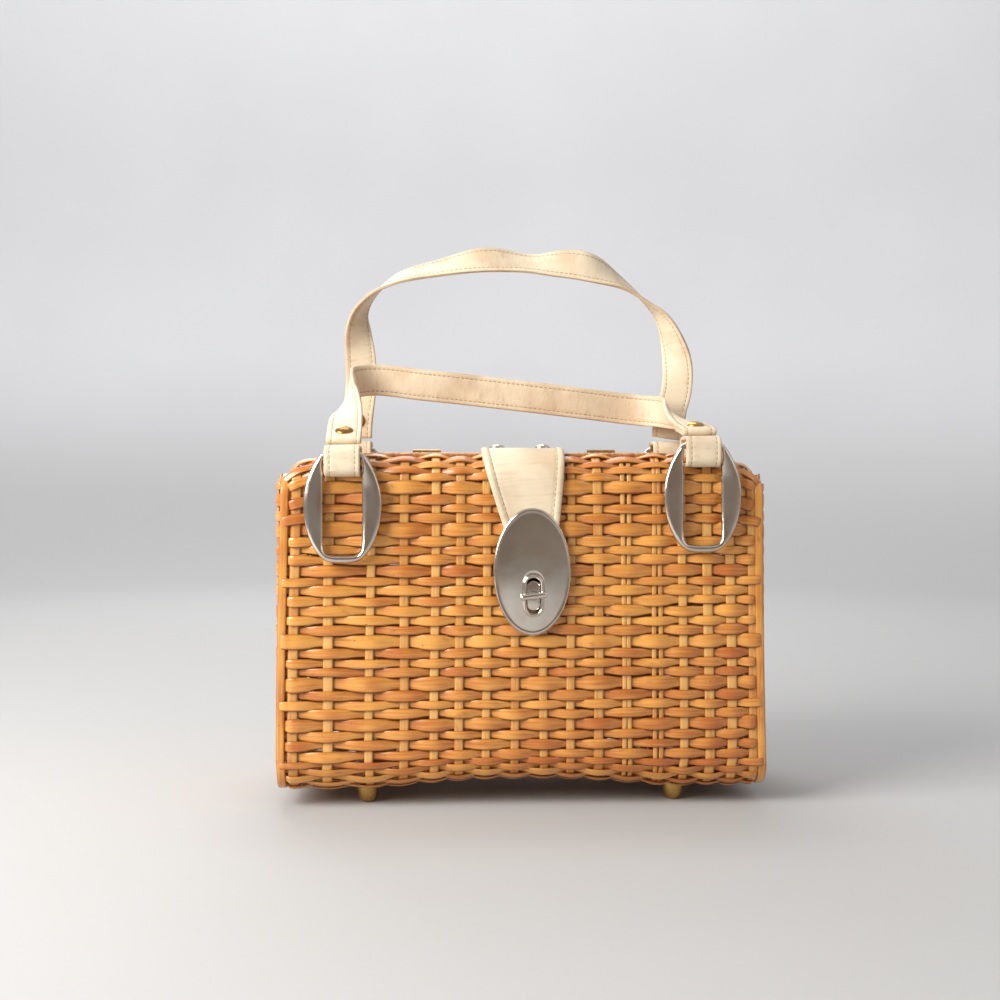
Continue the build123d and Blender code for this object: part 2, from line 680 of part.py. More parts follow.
for row_name, stations in (("front", front_stations), ("back", back_stations)):
    planes = sections_of(stations)
    rivet_planes = {
        side_name: Plane(origin=plane.origin, z_dir=-plane.y_dir)
        for side_name, plane in (("left", planes[1]), ("right", planes[-2]))
    }
    with BuildPart() as handle:
        add(ply_through(planes[:3], -PLY, PLY))
        add(ply_through(planes[2:-2], -PLY, 0))
        add(ply_through(planes[-3:], -PLY, PLY))
        for foot in (planes[0], planes[-1]):
            with BuildSketch(
                Plane(origin=foot.origin - Vector(STRAP_WIDTH / 2, 0, 0), z_dir=(1, 0, 0))
            ):
                Circle(PLY)
            extrude(amount=STRAP_WIDTH)
        for plane in rivet_planes.values():
            with BuildSketch(plane.offset(-2 * PLY)):
                Circle(STUD_SHANK_RADIUS + SPINDLE_FIT)
            extrude(amount=4 * PLY, mode=Mode.SUBTRACT)
    write(handle.part, f"handle_{row_name}")
    for side_name, plane in rivet_planes.items():
        head_at = PLY + RIVET_SEAT
        with BuildPart() as rivet:
            with BuildSketch(plane.offset(-head_at - RIVET_DOME)):
                Circle(RIVET_RADIUS)
            extrude(amount=2 * (head_at + RIVET_DOME))
            fillet(rivet.edges().filter_by(GeomType.CIRCLE), 0.9 * RIVET_DOME)
            with BuildSketch(plane.offset(-head_at)):
                Circle(2 * RIVET_RADIUS)
                Circle(STUD_SHANK_RADIUS, mode=Mode.SUBTRACT)
            extrude(amount=2 * head_at, mode=Mode.SUBTRACT)
        write(rivet.part, f"handle_rivet_{row_name}_{side_name}")

print("nodes", len(written))
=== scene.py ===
# %% [markdown]
# # A woven basket box bag
# The frame of this bag comes from its construction model: the box, the lid, the clasp, the rings and
# the handles are already in place and already move. Here each of them gets the surface that the real
# bag shows: woven cane, stitched leather, polished nickel and brass. We load the frame first, because
# every place below is read from it.

import math

import bpy
import numpy as np
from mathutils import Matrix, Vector


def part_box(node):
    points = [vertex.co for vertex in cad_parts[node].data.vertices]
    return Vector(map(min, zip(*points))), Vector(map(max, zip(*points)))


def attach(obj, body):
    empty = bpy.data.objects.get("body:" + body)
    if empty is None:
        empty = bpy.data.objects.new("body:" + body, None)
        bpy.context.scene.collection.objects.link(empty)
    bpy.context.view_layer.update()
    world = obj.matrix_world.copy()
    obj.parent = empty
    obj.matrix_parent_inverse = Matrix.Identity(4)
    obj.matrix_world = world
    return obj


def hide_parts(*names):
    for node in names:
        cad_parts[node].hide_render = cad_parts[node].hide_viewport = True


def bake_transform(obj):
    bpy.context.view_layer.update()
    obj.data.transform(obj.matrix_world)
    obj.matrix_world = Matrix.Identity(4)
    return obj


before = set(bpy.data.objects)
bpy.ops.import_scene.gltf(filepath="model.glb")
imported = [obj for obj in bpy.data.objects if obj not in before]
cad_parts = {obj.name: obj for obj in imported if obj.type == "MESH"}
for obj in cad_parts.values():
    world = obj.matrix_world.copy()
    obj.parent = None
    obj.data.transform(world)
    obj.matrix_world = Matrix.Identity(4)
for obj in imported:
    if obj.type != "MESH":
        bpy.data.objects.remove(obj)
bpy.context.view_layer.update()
MM = 0.001
X_AXIS, Y_AXIS, Z_AXIS = np.eye(3)
draw = np.random.default_rng(7)


def corners(node):
    """Lowest and highest corner of a frame node, in millimetres."""
    low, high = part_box(node)
    return np.array(low) / MM, np.array(high) / MM


body_low, body_high = corners("basket_body")
print("box of the basket, mm:", body_low.round(1), body_high.round(1))

# %% [markdown]
# ## Meshes from swept sections
# Cane, straps, rings and rivets have one thing in common: a section that is carried along a line.
# So one collector is enough. It takes rings of points, joins each ring to the next and closes the two
# ends. It also keeps a "grain" for each point (how far along, how far across, which strip), which the
# finishes use later to lay fibres along the strip instead of across it.


# %% The collector
class Sheaf:
    """Points, faces and grain of many swept strips, gathered for one mesh."""

    def __init__(self):
        self.points, self.faces, self.grain, self.count = [], [], [], 0

    def sweep(self, rings, grain, closed=False):
        """Joins rings of points, an array of stations by section points by 3, into a skin."""
        stations, around = rings.shape[:2]
        index = self.count + np.arange(stations * around).reshape(stations, around)
        lower = index if closed else index[:-1]
        upper = np.roll(index, -1, axis=0) if closed else index[1:]
        quads = np.stack([lower, np.roll(lower, -1, 1), np.roll(upper, -1, 1), upper], axis=-1)
        self.faces += quads.reshape(-1, 4).tolist()
        if not closed:
            self.faces += [index[0][::-1].tolist(), index[-1].tolist()]
        self.points.append(rings.reshape(-1, 3))
        self.grain.append(np.broadcast_to(grain, rings.shape).reshape(-1, 3))
        self.count += stations * around

    def make(self, name, finish, slot, stands_for=()):
        """Makes the mesh, in metres, with its finish; its slot is not used."""
        mesh = bpy.data.meshes.new(name)
        mesh.from_pydata((np.concatenate(self.points) * MM).tolist(), [], self.faces)
        mesh.polygons.foreach_set("use_smooth", [True] * len(mesh.polygons))
        grain = mesh.attributes.new("grain", "FLOAT_VECTOR", "POINT")
        grain.data.foreach_set("vector", np.concatenate(self.grain).astype(np.float32).ravel())
        mesh.materials.append(finish)
        piece = bpy.data.objects.new(name, mesh)
        bpy.context.scene.collection.objects.link(piece)
        if stands_for:
            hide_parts(*stands_for)
        print(name, "has", sum(len(face) - 2 for face in self.faces), "triangles")
        return piece


# %% [markdown]
# A strip needs a line to follow and a direction to face. Listed points are joined by a smooth line,
# the line is cut into even steps, and the section is set square to it at every step. Round parts are
# simpler: a profile is turned about an axis, as on a lathe.


# %% Lines, directions and sections
def unit(vectors):
    """The same directions with a length of one."""
    vectors = np.asarray(vectors, float)
    return vectors / np.maximum(np.linalg.norm(vectors, axis=-1, keepdims=True), 1e-9)


def travelled(path):
    """Distance along a path at each of its points."""
    steps = np.linalg.norm(np.diff(path, axis=0), axis=1)
    return np.concatenate([[0], np.cumsum(steps)])


def evenly(path, step, *others):
    """Points at an even step along a path, and other values carried along with it."""
    along = travelled(path)
    count = max(int(along[-1] / step), 2) + 1
    wanted = np.linspace(0, along[-1], count)
    tables = [np.asarray(t, float).reshape(len(path), -1) for t in (path, *others)]
    spread = [np.stack([np.interp(wanted, along, c) for c in t.T], axis=1) for t in tables]
    return spread if others else spread[0]


def through(points, values=None, steps=12):
    """A smooth line through given points, or values that change smoothly from point to point."""
    along = travelled(np.asarray(points, float))
    values = np.asarray(points if values is None else values, float)
    slope = np.gradient(values, along, axis=0)
    line = []
    t = np.linspace(0, 1, steps, endpoint=False)[:, None]
    for a, b, sa, sb, span in zip(values, values[1:], slope, slope[1:], np.diff(along)):
        rise = t * t * (3 - 2 * t)
        line.append(
            a * (1 - rise) + b * rise
            + span * (sa * t * (1 - t) ** 2 - sb * t * t * (1 - t))
        )
    return np.vstack([*line, values[-1:]])


print("points of a smooth line through three:", len(through([(0, 0, 0), (5, 5, 0), (9, 0, 0)])))

# %% [markdown]
# A section has two directions: across, which lies in the face of the strip, and up, which stands on it.
# Both are found from the line's own direction and the normal, so a strap can twist on its way.


# %% Sections along a line, and turned parts
def carried(path, normals, section, width=1.0, height=1.0, closed=False):
    """A section of (across, up) points carried along a path; across is normal x tangent."""
    if closed:
        tangent = unit(np.roll(path, -1, 0) - np.roll(path, 1, 0))
    else:
        tangent = unit(np.gradient(path, axis=0))
    across = unit(np.cross(normals, tangent))
    up = np.cross(tangent, across)
    section = section if section.ndim == 3 else section[None]
    wide = np.asarray(width, float).reshape(-1, 1, 1) * section[..., :1]
    high = np.asarray(height, float).reshape(-1, 1, 1) * section[..., 1:]
    return path[:, None] + wide * across[:, None] + high * up[:, None]


def grain_of(path, section, number):
    """Grain of a swept strip: millimetres along, -1 to 1 across, and the strip's own number."""
    grain = np.zeros((len(path), len(section), 3))
    grain[..., 0] = travelled(path)[:, None]
    grain[..., 1] = section[None, :, 0] / np.abs(section[:, 0]).max()
    grain[..., 2] = number
    return grain


def circle(sides):
    """Points round a circle with a radius of one."""
    angle = np.linspace(0, 2 * math.pi, sides, endpoint=False)
    return np.stack([np.cos(angle), np.sin(angle)], axis=1)


def lathe(sheaf, profile, centre, axis, sides=40):
    """Turns a profile of (radius, height) points round an axis."""
    axis = unit(axis)
    first = unit(np.cross(axis, Z_AXIS if abs(axis[2]) < 0.9 else X_AXIS))
    spoke = circle(sides) @ np.stack([first, np.cross(axis, first)])
    profile = np.asarray(profile, float)
    rings = np.asarray(centre) + profile[:, :1, None] * spoke + profile[:, 1:, None] * axis
    sheaf.sweep(rings, np.zeros(3))


print("second corner of a hexagon:", circle(6)[1].round(3))

# %% [markdown]
# ## The studio
# The bag stands on a plain pale floor that rises into a wall all round, as a potter's bowl does, so
# that it can be looked at from any side. One large soft lamp stands at the bag's left, as a window
# would; weak ones fill the shadows from the front right and lift the far wall. Metal needs something
# to reflect, and the bright window with the dimmer room opposite gives it that.

# %% Floor and lamps
FLOOR_RADIUS, BOWL_RADIUS, BOWL_HEIGHT = 1500.0, 900.0, 2600.0
AIR_LIGHT = 0.62  # strength of the even light from all round


def studio_surface():
    """Floor and wall in one turned surface."""
    bend = np.linspace(0, math.pi / 2, 24)
    profile = [(1.0, 0.0), (400.0, 0.0), (900.0, 0.0)]
    profile += [
        (FLOOR_RADIUS + BOWL_RADIUS * math.sin(a), BOWL_RADIUS * (1 - math.cos(a))) for a in bend
    ]
    profile.append((FLOOR_RADIUS + BOWL_RADIUS, BOWL_HEIGHT))
    angle = np.linspace(0, 2 * math.pi, 96, endpoint=False)
    points = [(r * math.cos(a), r * math.sin(a), h) for r, h in profile for a in angle]
    n = len(angle)
    faces = [
        (i * n + j, i * n + (j + 1) % n, (i + 1) * n + (j + 1) % n, (i + 1) * n + j)
        for i in range(len(profile) - 1)
        for j in range(n)
    ]
    mesh = bpy.data.meshes.new("studio_floor")
    mesh.from_pydata((np.array(points) * MM).tolist(), [], [*faces, tuple(range(n))[::-1]])
    mesh.polygons.foreach_set("use_smooth", [True] * len(mesh.polygons))
    floor = bpy.data.objects.new("studio_floor", mesh)
    bpy.context.scene.collection.objects.link(floor)
    return floor


def lamp(name, place, target, size, watts, colour):
    """A square soft lamp at a place, in metres, turned to a target."""
    light = bpy.data.lights.new(name, "AREA")
    light.size, light.energy, light.color = size, watts, colour
    holder = bpy.data.objects.new(name, light)
    holder.location = place
    holder.rotation_euler = (Vector(target) - Vector(place)).to_track_quat("-Z", "Y").to_euler()
    bpy.context.scene.collection.objects.link(holder)


floor = studio_surface()
print("floor is", round(2 * (FLOOR_RADIUS + BOWL_RADIUS) * MM, 1), "m across")
lamp("window", (-0.86, -0.55, 0.62), (0.0, 0.0, 0.12), 0.7, 20.0, (1.0, 0.98, 0.945))
lamp("room", (1.2, -1.1, 0.9), (0.0, 0.0, 0.12), 1.0, 2.2, (0.95, 0.97, 1.0))
lamp("behind", (-0.3, 1.3, 1.1), (0.0, 0.0, 0.15), 0.9, 7.0, (1.0, 1.0, 1.0))
lamp("wall", (-0.2, 0.9, 2.3), (0.0, 2.3, 0.7), 1.2, 22.0, (0.98, 0.99, 1.0))

world = bpy.data.worlds.new("studio_air")
world.use_nodes = True
world.node_tree.nodes["Background"].inputs["Color"].default_value = (0.93, 0.96, 1.0, 1)
world.node_tree.nodes["Background"].inputs["Strength"].default_value = AIR_LIGHT
bpy.context.scene.world = world
bpy.context.scene.view_settings.view_transform = "Standard"

# %% [markdown]
# The camera stands a little to the left of the bag's middle, near the height of its upper edge, and looks
# almost level. From here the near front hides both ends, and the handles stand clear against the wall.

# %% Camera
EYE = (-0.0408, -0.7188, 0.163)
EYE_YAW, EYE_TILT = 2.5, 0.48
LENS, SENSOR = 47.05, 36.0
camera = bpy.data.objects.new("camera", bpy.data.cameras.new("camera"))
camera.data.lens, camera.data.sensor_width = LENS, SENSOR
camera.location = EYE
camera.rotation_euler = (math.radians(90 - EYE_TILT), 0, -math.radians(EYE_YAW))
bpy.context.scene.collection.objects.link(camera)
bpy.context.scene.camera = camera
print("camera stands", round(Vector(EYE).length, 3), "m from the origin")

# %% [markdown]
# ## Finishes
# A finish is one shader and the little network of nodes that feeds it. The maths in such a network is
# easiest to read as ordinary sums, so one small class wraps a socket and answers to + - * / and so on.
# A second class opens the material, adds any other node from its settings and its inputs, and mixes
# colours.


# %% Shader maths as expressions
class Value:
    """A node's number output, which can be used in Python sums."""

    def __init__(self, finish, socket):
        self.finish, self.socket = finish, socket

    def sum(self, operation, *values):
        inputs = dict(enumerate(values))
        return self.finish.node("ShaderNodeMath", {"operation": operation}, inputs)

    def __add__(self, other):
        return self.sum("ADD", self, other)

    def __sub__(self, other):
        return self.sum("SUBTRACT", self, other)

    def __rsub__(self, other):
        return self.sum("SUBTRACT", other, self)

    def __mul__(self, other):
        return self.sum("MULTIPLY", self, other)

    def __abs__(self):
        return self.sum("ABSOLUTE", self)

    __radd__, __rmul__ = __add__, __mul__

    def over(self, low, high):
        """0 below low, 1 above high, and smooth between."""
        settings = {"interpolation_type": "SMOOTHSTEP"}
        inputs = {"Value": self, "From Min": low, "From Max": high}
        return self.finish.node("ShaderNodeMapRange", settings, inputs)


# %% [markdown]
# The second class is the finish itself. Numbers that are the same all over go straight to the shader's
# own sockets; whatever changes over the surface is fed in through nodes.


# %% The finish
class Finish:
    """A material with one shader, and the nodes that feed it."""

    def __init__(self, title, **constants):
        self.material = bpy.data.materials.new(title)
        self.material.use_nodes = True
        self.tree = self.material.node_tree
        self.shader = self.tree.nodes["Principled BSDF"]
        for name, value in constants.items():
            socket = name.replace("_", " ").title().replace("Ior", "IOR")
            self.shader.inputs[socket].default_value = value

    def node(self, kind, settings=None, inputs=None, output=0):
        """Adds a node: its settings first, then its inputs as values or links."""
        node = self.tree.nodes.new(kind)
        for key, value in (settings or {}).items():
            setattr(node, key, value)
        for key, value in (inputs or {}).items():
            if isinstance(value, Value):
                self.tree.links.new(value.socket, node.inputs[key])
            else:
                node.inputs[key].default_value = value
        return Value(self, node.outputs[output])

    def feed(self, **sockets):
        """Links values to the shader's own sockets."""
        for name, value in sockets.items():
            self.tree.links.new(value.socket, self.shader.inputs[name.replace("_", " ").title()])

    def mixed(self, under, over, share):
        """One colour laid over another by a share from 0 to 1."""
        return self.node("ShaderNodeMix", {"data_type": "RGBA"}, {0: share, 6: under, 7: over}, 2)

    def noise(self, where, scale, detail=2.0):
        """Cloudy variation from 0 to 1."""
        return self.node("ShaderNodeTexNoise", {}, {"Vector": where, "Scale": scale, "Detail": detail})

    def where(self):
        """Place in the frame, in metres, which the object carries with it."""
        return self.node("ShaderNodeTexCoord", {}, {}, "Object")

    def grain(self):
        """Millimetres along the strip, -1 to 1 across it, and its number."""
        stored = self.node("ShaderNodeAttribute", {"attribute_name": "grain"}, {}, "Vector")
        split = self.node("ShaderNodeSeparateXYZ", {}, {0: stored}).socket.node
        return [Value(self, socket) for socket in split.outputs]

    def place(self, x, y, z):
        """A position put together from three numbers."""
        return self.node("ShaderNodeCombineXYZ", {}, {0: x, 1: y, 2: z})

    def stretched(self, where, x, y, z):
        """A position with a scale of its own on each axis."""
        return self.node("ShaderNodeVectorMath", {"operation": "MULTIPLY"}, {0: where, 1: (x, y, z)})

    def bump(self, height, strength, distance):
        """A normal that rises and falls with a height."""
        return self.node(
            "ShaderNodeBump", {}, {"Height": height, "Strength": strength, "Distance": distance}
        )


def paint(red, green, blue):
    """A colour as a painter would read it off a chart, 0 to 255, as the shader wants it."""
    chart = [c / 255 for c in (red, green, blue)]
    linear = [c / 12.92 if c <= 0.04045 else ((c + 0.055) / 1.055) ** 2.4 for c in chart]
    return (*linear, 1.0)


print("middle grey is", round(paint(128, 128, 128)[0], 3))

# %% [markdown]
# Cane is the outer skin of a climbing palm, split into flat strips. Its fibres run lengthwise, each
# strip has its own shade, the varnish is thick and glossy, and here and there a knot or nick shows dark.
# The fibre noise is stretched along the grain, so it turns with each strip.


# %% Cane and rattan
def cane(name, pale, honey, dark, gloss=0.3, nicks=1.0):
    """Varnished cane: a shade for each strip, fibres along it, painted shade at its edges, dark nicks."""
    f = Finish(name, coat_weight=0.85, coat_roughness=0.14, specular_ior_level=0.5)
    along, across, strip = f.grain()
    own = f.node("ShaderNodeTexWhiteNoise", {"noise_dimensions": "1D"}, {"W": strip})
    fibres = f.noise(f.place(along * 0.05, across * 3.2, strip * 7.3), 1.0, 4.0)
    cloud = f.noise(f.place(along * 0.045, across * 0.25, strip * 3.1), 1.0, 2.0)
    patch = f.noise(f.where(), 14.0, 2.0)
    tone = own * 0.5 + fibres * 0.9 + cloud * 1.2 + patch * 0.7 - 1.15
    shade = f.mixed(pale, honey, tone.over(0.05, 0.95))
    # Painted shade: each strip darkens towards its edges, where it dips into the dark gaps between rows.
    edge = abs(across).over(0.62, 1.05)
    edges_shaded = f.mixed(shade, dark, edge * 0.5)
    stain = f.noise(f.place(along * 0.11, across * 0.6, strip * 5.7), 1.0, 3.0).over(0.62, 0.8)
    warmed = f.mixed(edges_shaded, dark, stain * 0.42)
    speck = f.noise(f.place(along * 0.55, across * 1.9, strip * 11.9), 1.0, 1.0).over(0.76, 0.82)
    colour = f.mixed(warmed, paint(70, 32, 12), speck * (0.8 * nicks))
    f.feed(
        base_color=colour,
        roughness=gloss + fibres * 0.16 + stain * 0.1,
        normal=f.bump(fibres - speck * 0.6, 0.35, 0.0004),
    )
    return f.material


# This deep brown is the painted shade of the gaps between rows; it colours the weavers' shaded edges and
# their stains.
GAP_SHADE_AND_STAIN_BROWN = paint(96, 41, 10)
weaver_finish = cane("cane_varnished", paint(229, 161, 72), paint(180, 96, 25), GAP_SHADE_AND_STAIN_BROWN)
stake_finish = cane(
    "cane_stake", paint(230, 177, 98), paint(196, 126, 54), paint(112, 58, 20), gloss=0.4, nicks=0.5
)
rattan_finish = cane(
    "rattan_rod", paint(208, 142, 70), paint(164, 96, 36), paint(96, 46, 14), gloss=0.38, nicks=0.4
)
print("cane finishes:", weaver_finish.name, stake_finish.name, rattan_finish.name)

# %% [markdown]
# The studio gets matt paint. The floor is a shade deeper than the wall, so that the bag's shadow reads,
# and the wall opposite the bag's front is dimmer, because polished metal looks like metal only when it
# has something dark to mirror as well as something bright.


# %% Studio paint
def studio_paint(name, wall, ground, far):
    """Matt paint, faintly clouded: the floor a shade deeper, and a dimmer wall facing the bag."""
    f = Finish(name, specular_ior_level=0.2)
    where = f.where()
    place = f.node("ShaderNodeSeparateXYZ", {}, {0: where}).socket.node
    toward, height = Value(f, place.outputs["Y"]), Value(f, place.outputs["Z"])
    cloud = f.noise(where, 3.0, 2.0)
    pale = f.mixed(f.mixed(ground, wall, height.over(0.0, 0.5)), ground, cloud * 0.25)
    f.feed(
        base_color=f.mixed(pale, far, (toward * -1.0).over(1.2, 2.1)),
        roughness=0.75 + f.noise(where, 40.0, 2.0) * 0.15,
    )
    return f.material


floor_finish = studio_paint(
    "studio_paint", wall=paint(228, 228, 230), ground=paint(184, 183, 182), far=paint(176, 164, 150)
)
floor.data.materials.append(floor_finish)
print("studio finish:", floor_finish.name)

# %% [markdown]
# ## The woven box
# A stiff basket is a plain weave: upright stakes, and flat weavers that pass over one stake and under
# the next. A texture could fake it, but the eye reads the light catching each bulge and the dark gaps
# between, so every strip here is a real band of geometry. Both kinds of strip follow one surface, given
# by how far along the bag, how far round it, and how deep under the outer face. A weaver swings between
# shallow and deep as it crosses the stakes, and is widest where it lies on top.

# %% The surface that the strips follow
END_BULGE = 4.0  # how far each end swells past its corners
ROLL = 15.0  # roll of the long edges
END_ROLL = 8.0  # roll of the weavers round the end stakes
LEAN = 0.02  # by how much the stakes spread from top to bottom
CORNER_START, CORNER_RUN, CORNER_DROP, CORNER_HIGH = 97.0, 27.0, 17.0, 44.0  # rounded upper corners
BELLY_HALF, BELLY_RISE, SAG = 72.0, 4.5, 2.2  # the bottom edge arches in its middle and sags beside it
HALF_X = body_high[0] - END_BULGE
FACE = body_high[1]
ROOF, UNDERSIDE = body_high[2], body_low[2]
WALL_LOW, WALL_HIGH, CREST = UNDERSIDE + ROLL, ROOF - ROLL, FACE - ROLL
WALL_RUN, FLAT_RUN, ROLL_RUN = WALL_HIGH - WALL_LOW, 2 * CREST, math.pi / 2 * ROLL
HALF_ROUND = WALL_RUN + FLAT_RUN + 2 * ROLL_RUN
MIDDLE_Z = (ROOF + UNDERSIDE) / 2
MOUTH_FRONT, MOUTH_BACK = -CREST, corners("hinge_left_pin")[0][1] + 0.9


def profile(s):
    """Y, Z and outward direction at a distance round the box, from the foot of the front wall."""
    s = np.mod(s, 2 * HALF_ROUND)
    sign = np.where(s < HALF_ROUND, 1.0, -1.0)
    u = np.mod(s, HALF_ROUND)
    front = np.clip((u - WALL_RUN) / ROLL, 0, math.pi / 2)
    back = np.clip((u - WALL_RUN - ROLL_RUN - FLAT_RUN) / ROLL, 0, math.pi / 2)
    flat = np.clip(u - WALL_RUN - ROLL_RUN, 0, FLAT_RUN)
    y = -CREST - ROLL * np.cos(front) + flat + ROLL * np.sin(back)
    z = np.clip(u, 0, WALL_RUN) + ROLL * np.sin(front) - ROLL * (1 - np.cos(back))
    out_y = np.where(u < WALL_RUN + ROLL_RUN, -np.cos(front), np.sin(back))
    out_z = np.where(u < WALL_RUN + ROLL_RUN, np.sin(front), np.cos(back))
    half = (WALL_HIGH - WALL_LOW) / 2
    return sign * y, MIDDLE_Z + sign * (z - half), sign * out_y, sign * out_z


print("way round the box, mm:", round(2 * HALF_ROUND, 1))

# %% [markdown]
# No basket is a true box. The upper corners of this one fall away, the sides lean out a little towards
# the bottom, the lower edge arches between the feet, and both ends swell.


# %% The box with its falls and swells
def corner_drop(x, z):
    """How far the upper corners fall away towards the ends of the bag."""
    u = np.clip((np.abs(x) - CORNER_START) / CORNER_RUN, 0, 1)
    high = np.clip((z - (ROOF - CORNER_HIGH)) / CORNER_HIGH, 0, 1)
    return CORNER_DROP * (1 - np.sqrt(1 - 0.96 * u**2)) * high


def side_surface(x, s, depth):
    """A point of the long sides: x along the bag, s round it, depth under its outer face."""
    y, z, out_y, out_z = profile(s)
    past = np.clip((np.abs(x) - (HALF_X + 1 - END_ROLL)) / END_ROLL, 0, 1)
    depth = depth + 0.5 * END_ROLL * (1 - np.sqrt(np.clip(1 - past**2, 0.1, 1)))
    low = np.clip((WALL_LOW + 7 - z) / 22, 0, 1)
    lift = (BELLY_RISE * np.clip(1 - (x / BELLY_HALF) ** 2, 0, 1) - SAG) * low
    spread = 1 + LEAN * (MIDDLE_Z - z) / (ROOF - UNDERSIDE)
    height = z - out_z * depth + lift - corner_drop(x, z)
    return np.stack([x * spread, y - out_y * depth, height], axis=-1)


def end_surface(side):
    """The same for an end of the box: y across it, z up it."""

    def point(y, z, depth):
        top = np.clip((z - (ROOF - 9)) / 9, 0, 1)
        bottom = np.clip(((UNDERSIDE + 9) - z) / 9, 0, 1)
        edge = np.clip((np.abs(y) - (FACE - 7)) / 7, 0, 1)
        inset = sum(reach * (1 - np.sqrt(1 - e**2)) for reach, e in ((8, top), (8, bottom), (4, edge)))
        x = HALF_X + (END_BULGE + 1) * (1 - (y / FACE) ** 6) - inset - depth
        return np.stack([side * x, y + 0 * x, z - corner_drop(HALF_X, z) + 0 * x], axis=-1)

    return point


print("the upper corners fall by", round(float(corner_drop(HALF_X, ROOF)), 1), "mm")

# %% [markdown]
# The stakes aren't evenly spaced: whoever wove the bag set them by eye, and here they come unevenly too,
# from a short list. The weavers differ too. They come from a cycle of widths in which every few rows has
# a broad one, and a seeded draw makes each crossing a little fatter or thinner and lets each row sway.

# %% Stakes, rows and strips
STAKES = [-116.2, -98.8, -77.8, -60.5, -44.8, -32.2, -18.5, -4.3, 10.6, 24.6, 38.7, 53.2, 69.1,
          82.3, 95.5, 107.1, 118.3]
PAIRED = (53.2, 69.1)
END_STAKES = [-45, -32, -19, -6.5, 6.5, 19, 32, 45]
ROW_CYCLE = [5.0, 5.2, 4.6, 6.3, 4.9, 4.4, 5.2, 7.0, 4.7, 4.6, 5.3, 6.6, 5.0, 4.5, 5.6]
ROLL_CYCLE = [4.3, 3.9, 3.6]
TOP_CYCLE = [4.8, 4.5, 5.1]
MID_DEPTH, SWING = 2.05, 1.4
CANE_THICK, STAKE_THICK, STAKE_WIDE = 0.95, 1.0, 5.0
BULGE, FLOAT_EASE = 0.13, 0.55  # how much wider a float is, and how quickly it tapers at the stakes
FAT_SPREAD, SWAY_SPREAD = 0.085, 0.28  # how much crossings differ in width, and rows stray in mm
TIE_DEPTH, TUCK_DEPTH = -0.35, MID_DEPTH + 1.3  # where a tie and a plain end lie at the corner
TIE_NARROW, TUCK_NARROW = 0.05, 0.42  # by what share they narrow there
FLAT_CANE = np.array([
    (0.5, 0.1), (0.38, 0.42), (0.2, 0.5), (0, 0.52), (-0.2, 0.5), (-0.38, 0.42), (-0.5, 0.1),
    (-0.4, -0.5), (0.4, -0.5),
])
strip_number = 0
print(len(STAKES), "stakes along the bag and", len(END_STAKES), "across each end")


# %% [markdown]
# A weaver is one strip. It crosses the stakes in a wave, wide where it floats on top and narrow where it
# dips under. Past the corner strip it turns in, except for every sixth one, which is tied over it.


# %% One weaver, one stake
def rows_between(start, stop, cycle):
    """Middles and widths of the rows that fill a run, in a cycle of widths."""
    count = max(round((stop - start) / (sum(cycle) / len(cycle))), 1)
    widths = np.array([cycle[i % len(cycle)] for i in range(count)])
    widths *= (stop - start) / widths.sum()
    return list(zip(start + np.cumsum(widths) - widths / 2, widths))


def next_number():
    """A new number for each strip, so that each has its own shade."""
    global strip_number
    strip_number += 1
    return strip_number


def weaver(sheaf, surface, span, level, width, posts, parity, tuck=None, tie=False, full=0.98):
    """One weaver: over and under the posts along a span, at a level.

    Past tuck its ends go in behind the corner strip, or over it for a tie. A full of 1 fills the row.
    """
    x = np.linspace(*span, int((span[1] - span[0]) / 1.9) + 2)
    spots = np.array([2 * posts[0] - posts[1], *posts, 2 * posts[-1] - posts[-2]])
    phase = np.interp(x, spots, np.arange(-1, len(posts) + 1))
    over = np.cos(math.pi * (phase + parity))
    fat = np.interp(phase, np.arange(len(posts)), draw.normal(1.0, FAT_SPREAD, len(posts)))
    sway = np.interp(phase, np.arange(len(posts)), draw.normal(0.0, SWAY_SPREAD, len(posts)))
    depth = MID_DEPTH - SWING * over
    breadth = width * (full + BULGE * np.sign(over) * np.abs(over) ** FLOAT_EASE) * fat
    if tuck:
        end = np.clip((np.abs(x) - tuck) / 4, 0, 1)
        end = end * end * (3 - 2 * end)
        depth = depth * (1 - end) + (TIE_DEPTH if tie else TUCK_DEPTH) * end
        breadth = breadth * (1 - (TIE_NARROW if tie else TUCK_NARROW) * end)
    path = surface(x, level + sway, depth)
    normals = unit(surface(x, level + sway, depth - 1) - path)
    rings = carried(path, normals, FLAT_CANE, breadth, CANE_THICK)
    sheaf.sweep(rings, grain_of(path, FLAT_CANE, next_number()))


def stake(sheaf, path, normals, wide, closed=False):
    """One stake along a path."""
    rings = carried(path, normals, FLAT_CANE, wide, STAKE_THICK, closed)
    sheaf.sweep(rings, grain_of(path, FLAT_CANE, next_number()), closed)


def upright(sheaf, x, s_span, depth, wide, closed=False):
    """A strip that runs round the long sides at one place along the bag."""
    s = np.linspace(*s_span, int((s_span[1] - s_span[0]) / 3.0), endpoint=not closed)
    wander = 0.35 * np.sin(s / 31 + x)
    path = side_surface(x + wander, s, depth)
    normals = unit(side_surface(x + wander, s, depth - 1) - path)
    stake(sheaf, path, normals, wide, closed)


print("rows on the front wall:", len(rows_between(0, WALL_RUN, ROW_CYCLE)))

# %% [markdown]
# Now the rows are laid out round the box: front, top, back and bottom, with narrower weavers where the
# wall rolls over into the top. The rows that meet the mouth stop at its rim on both sides.

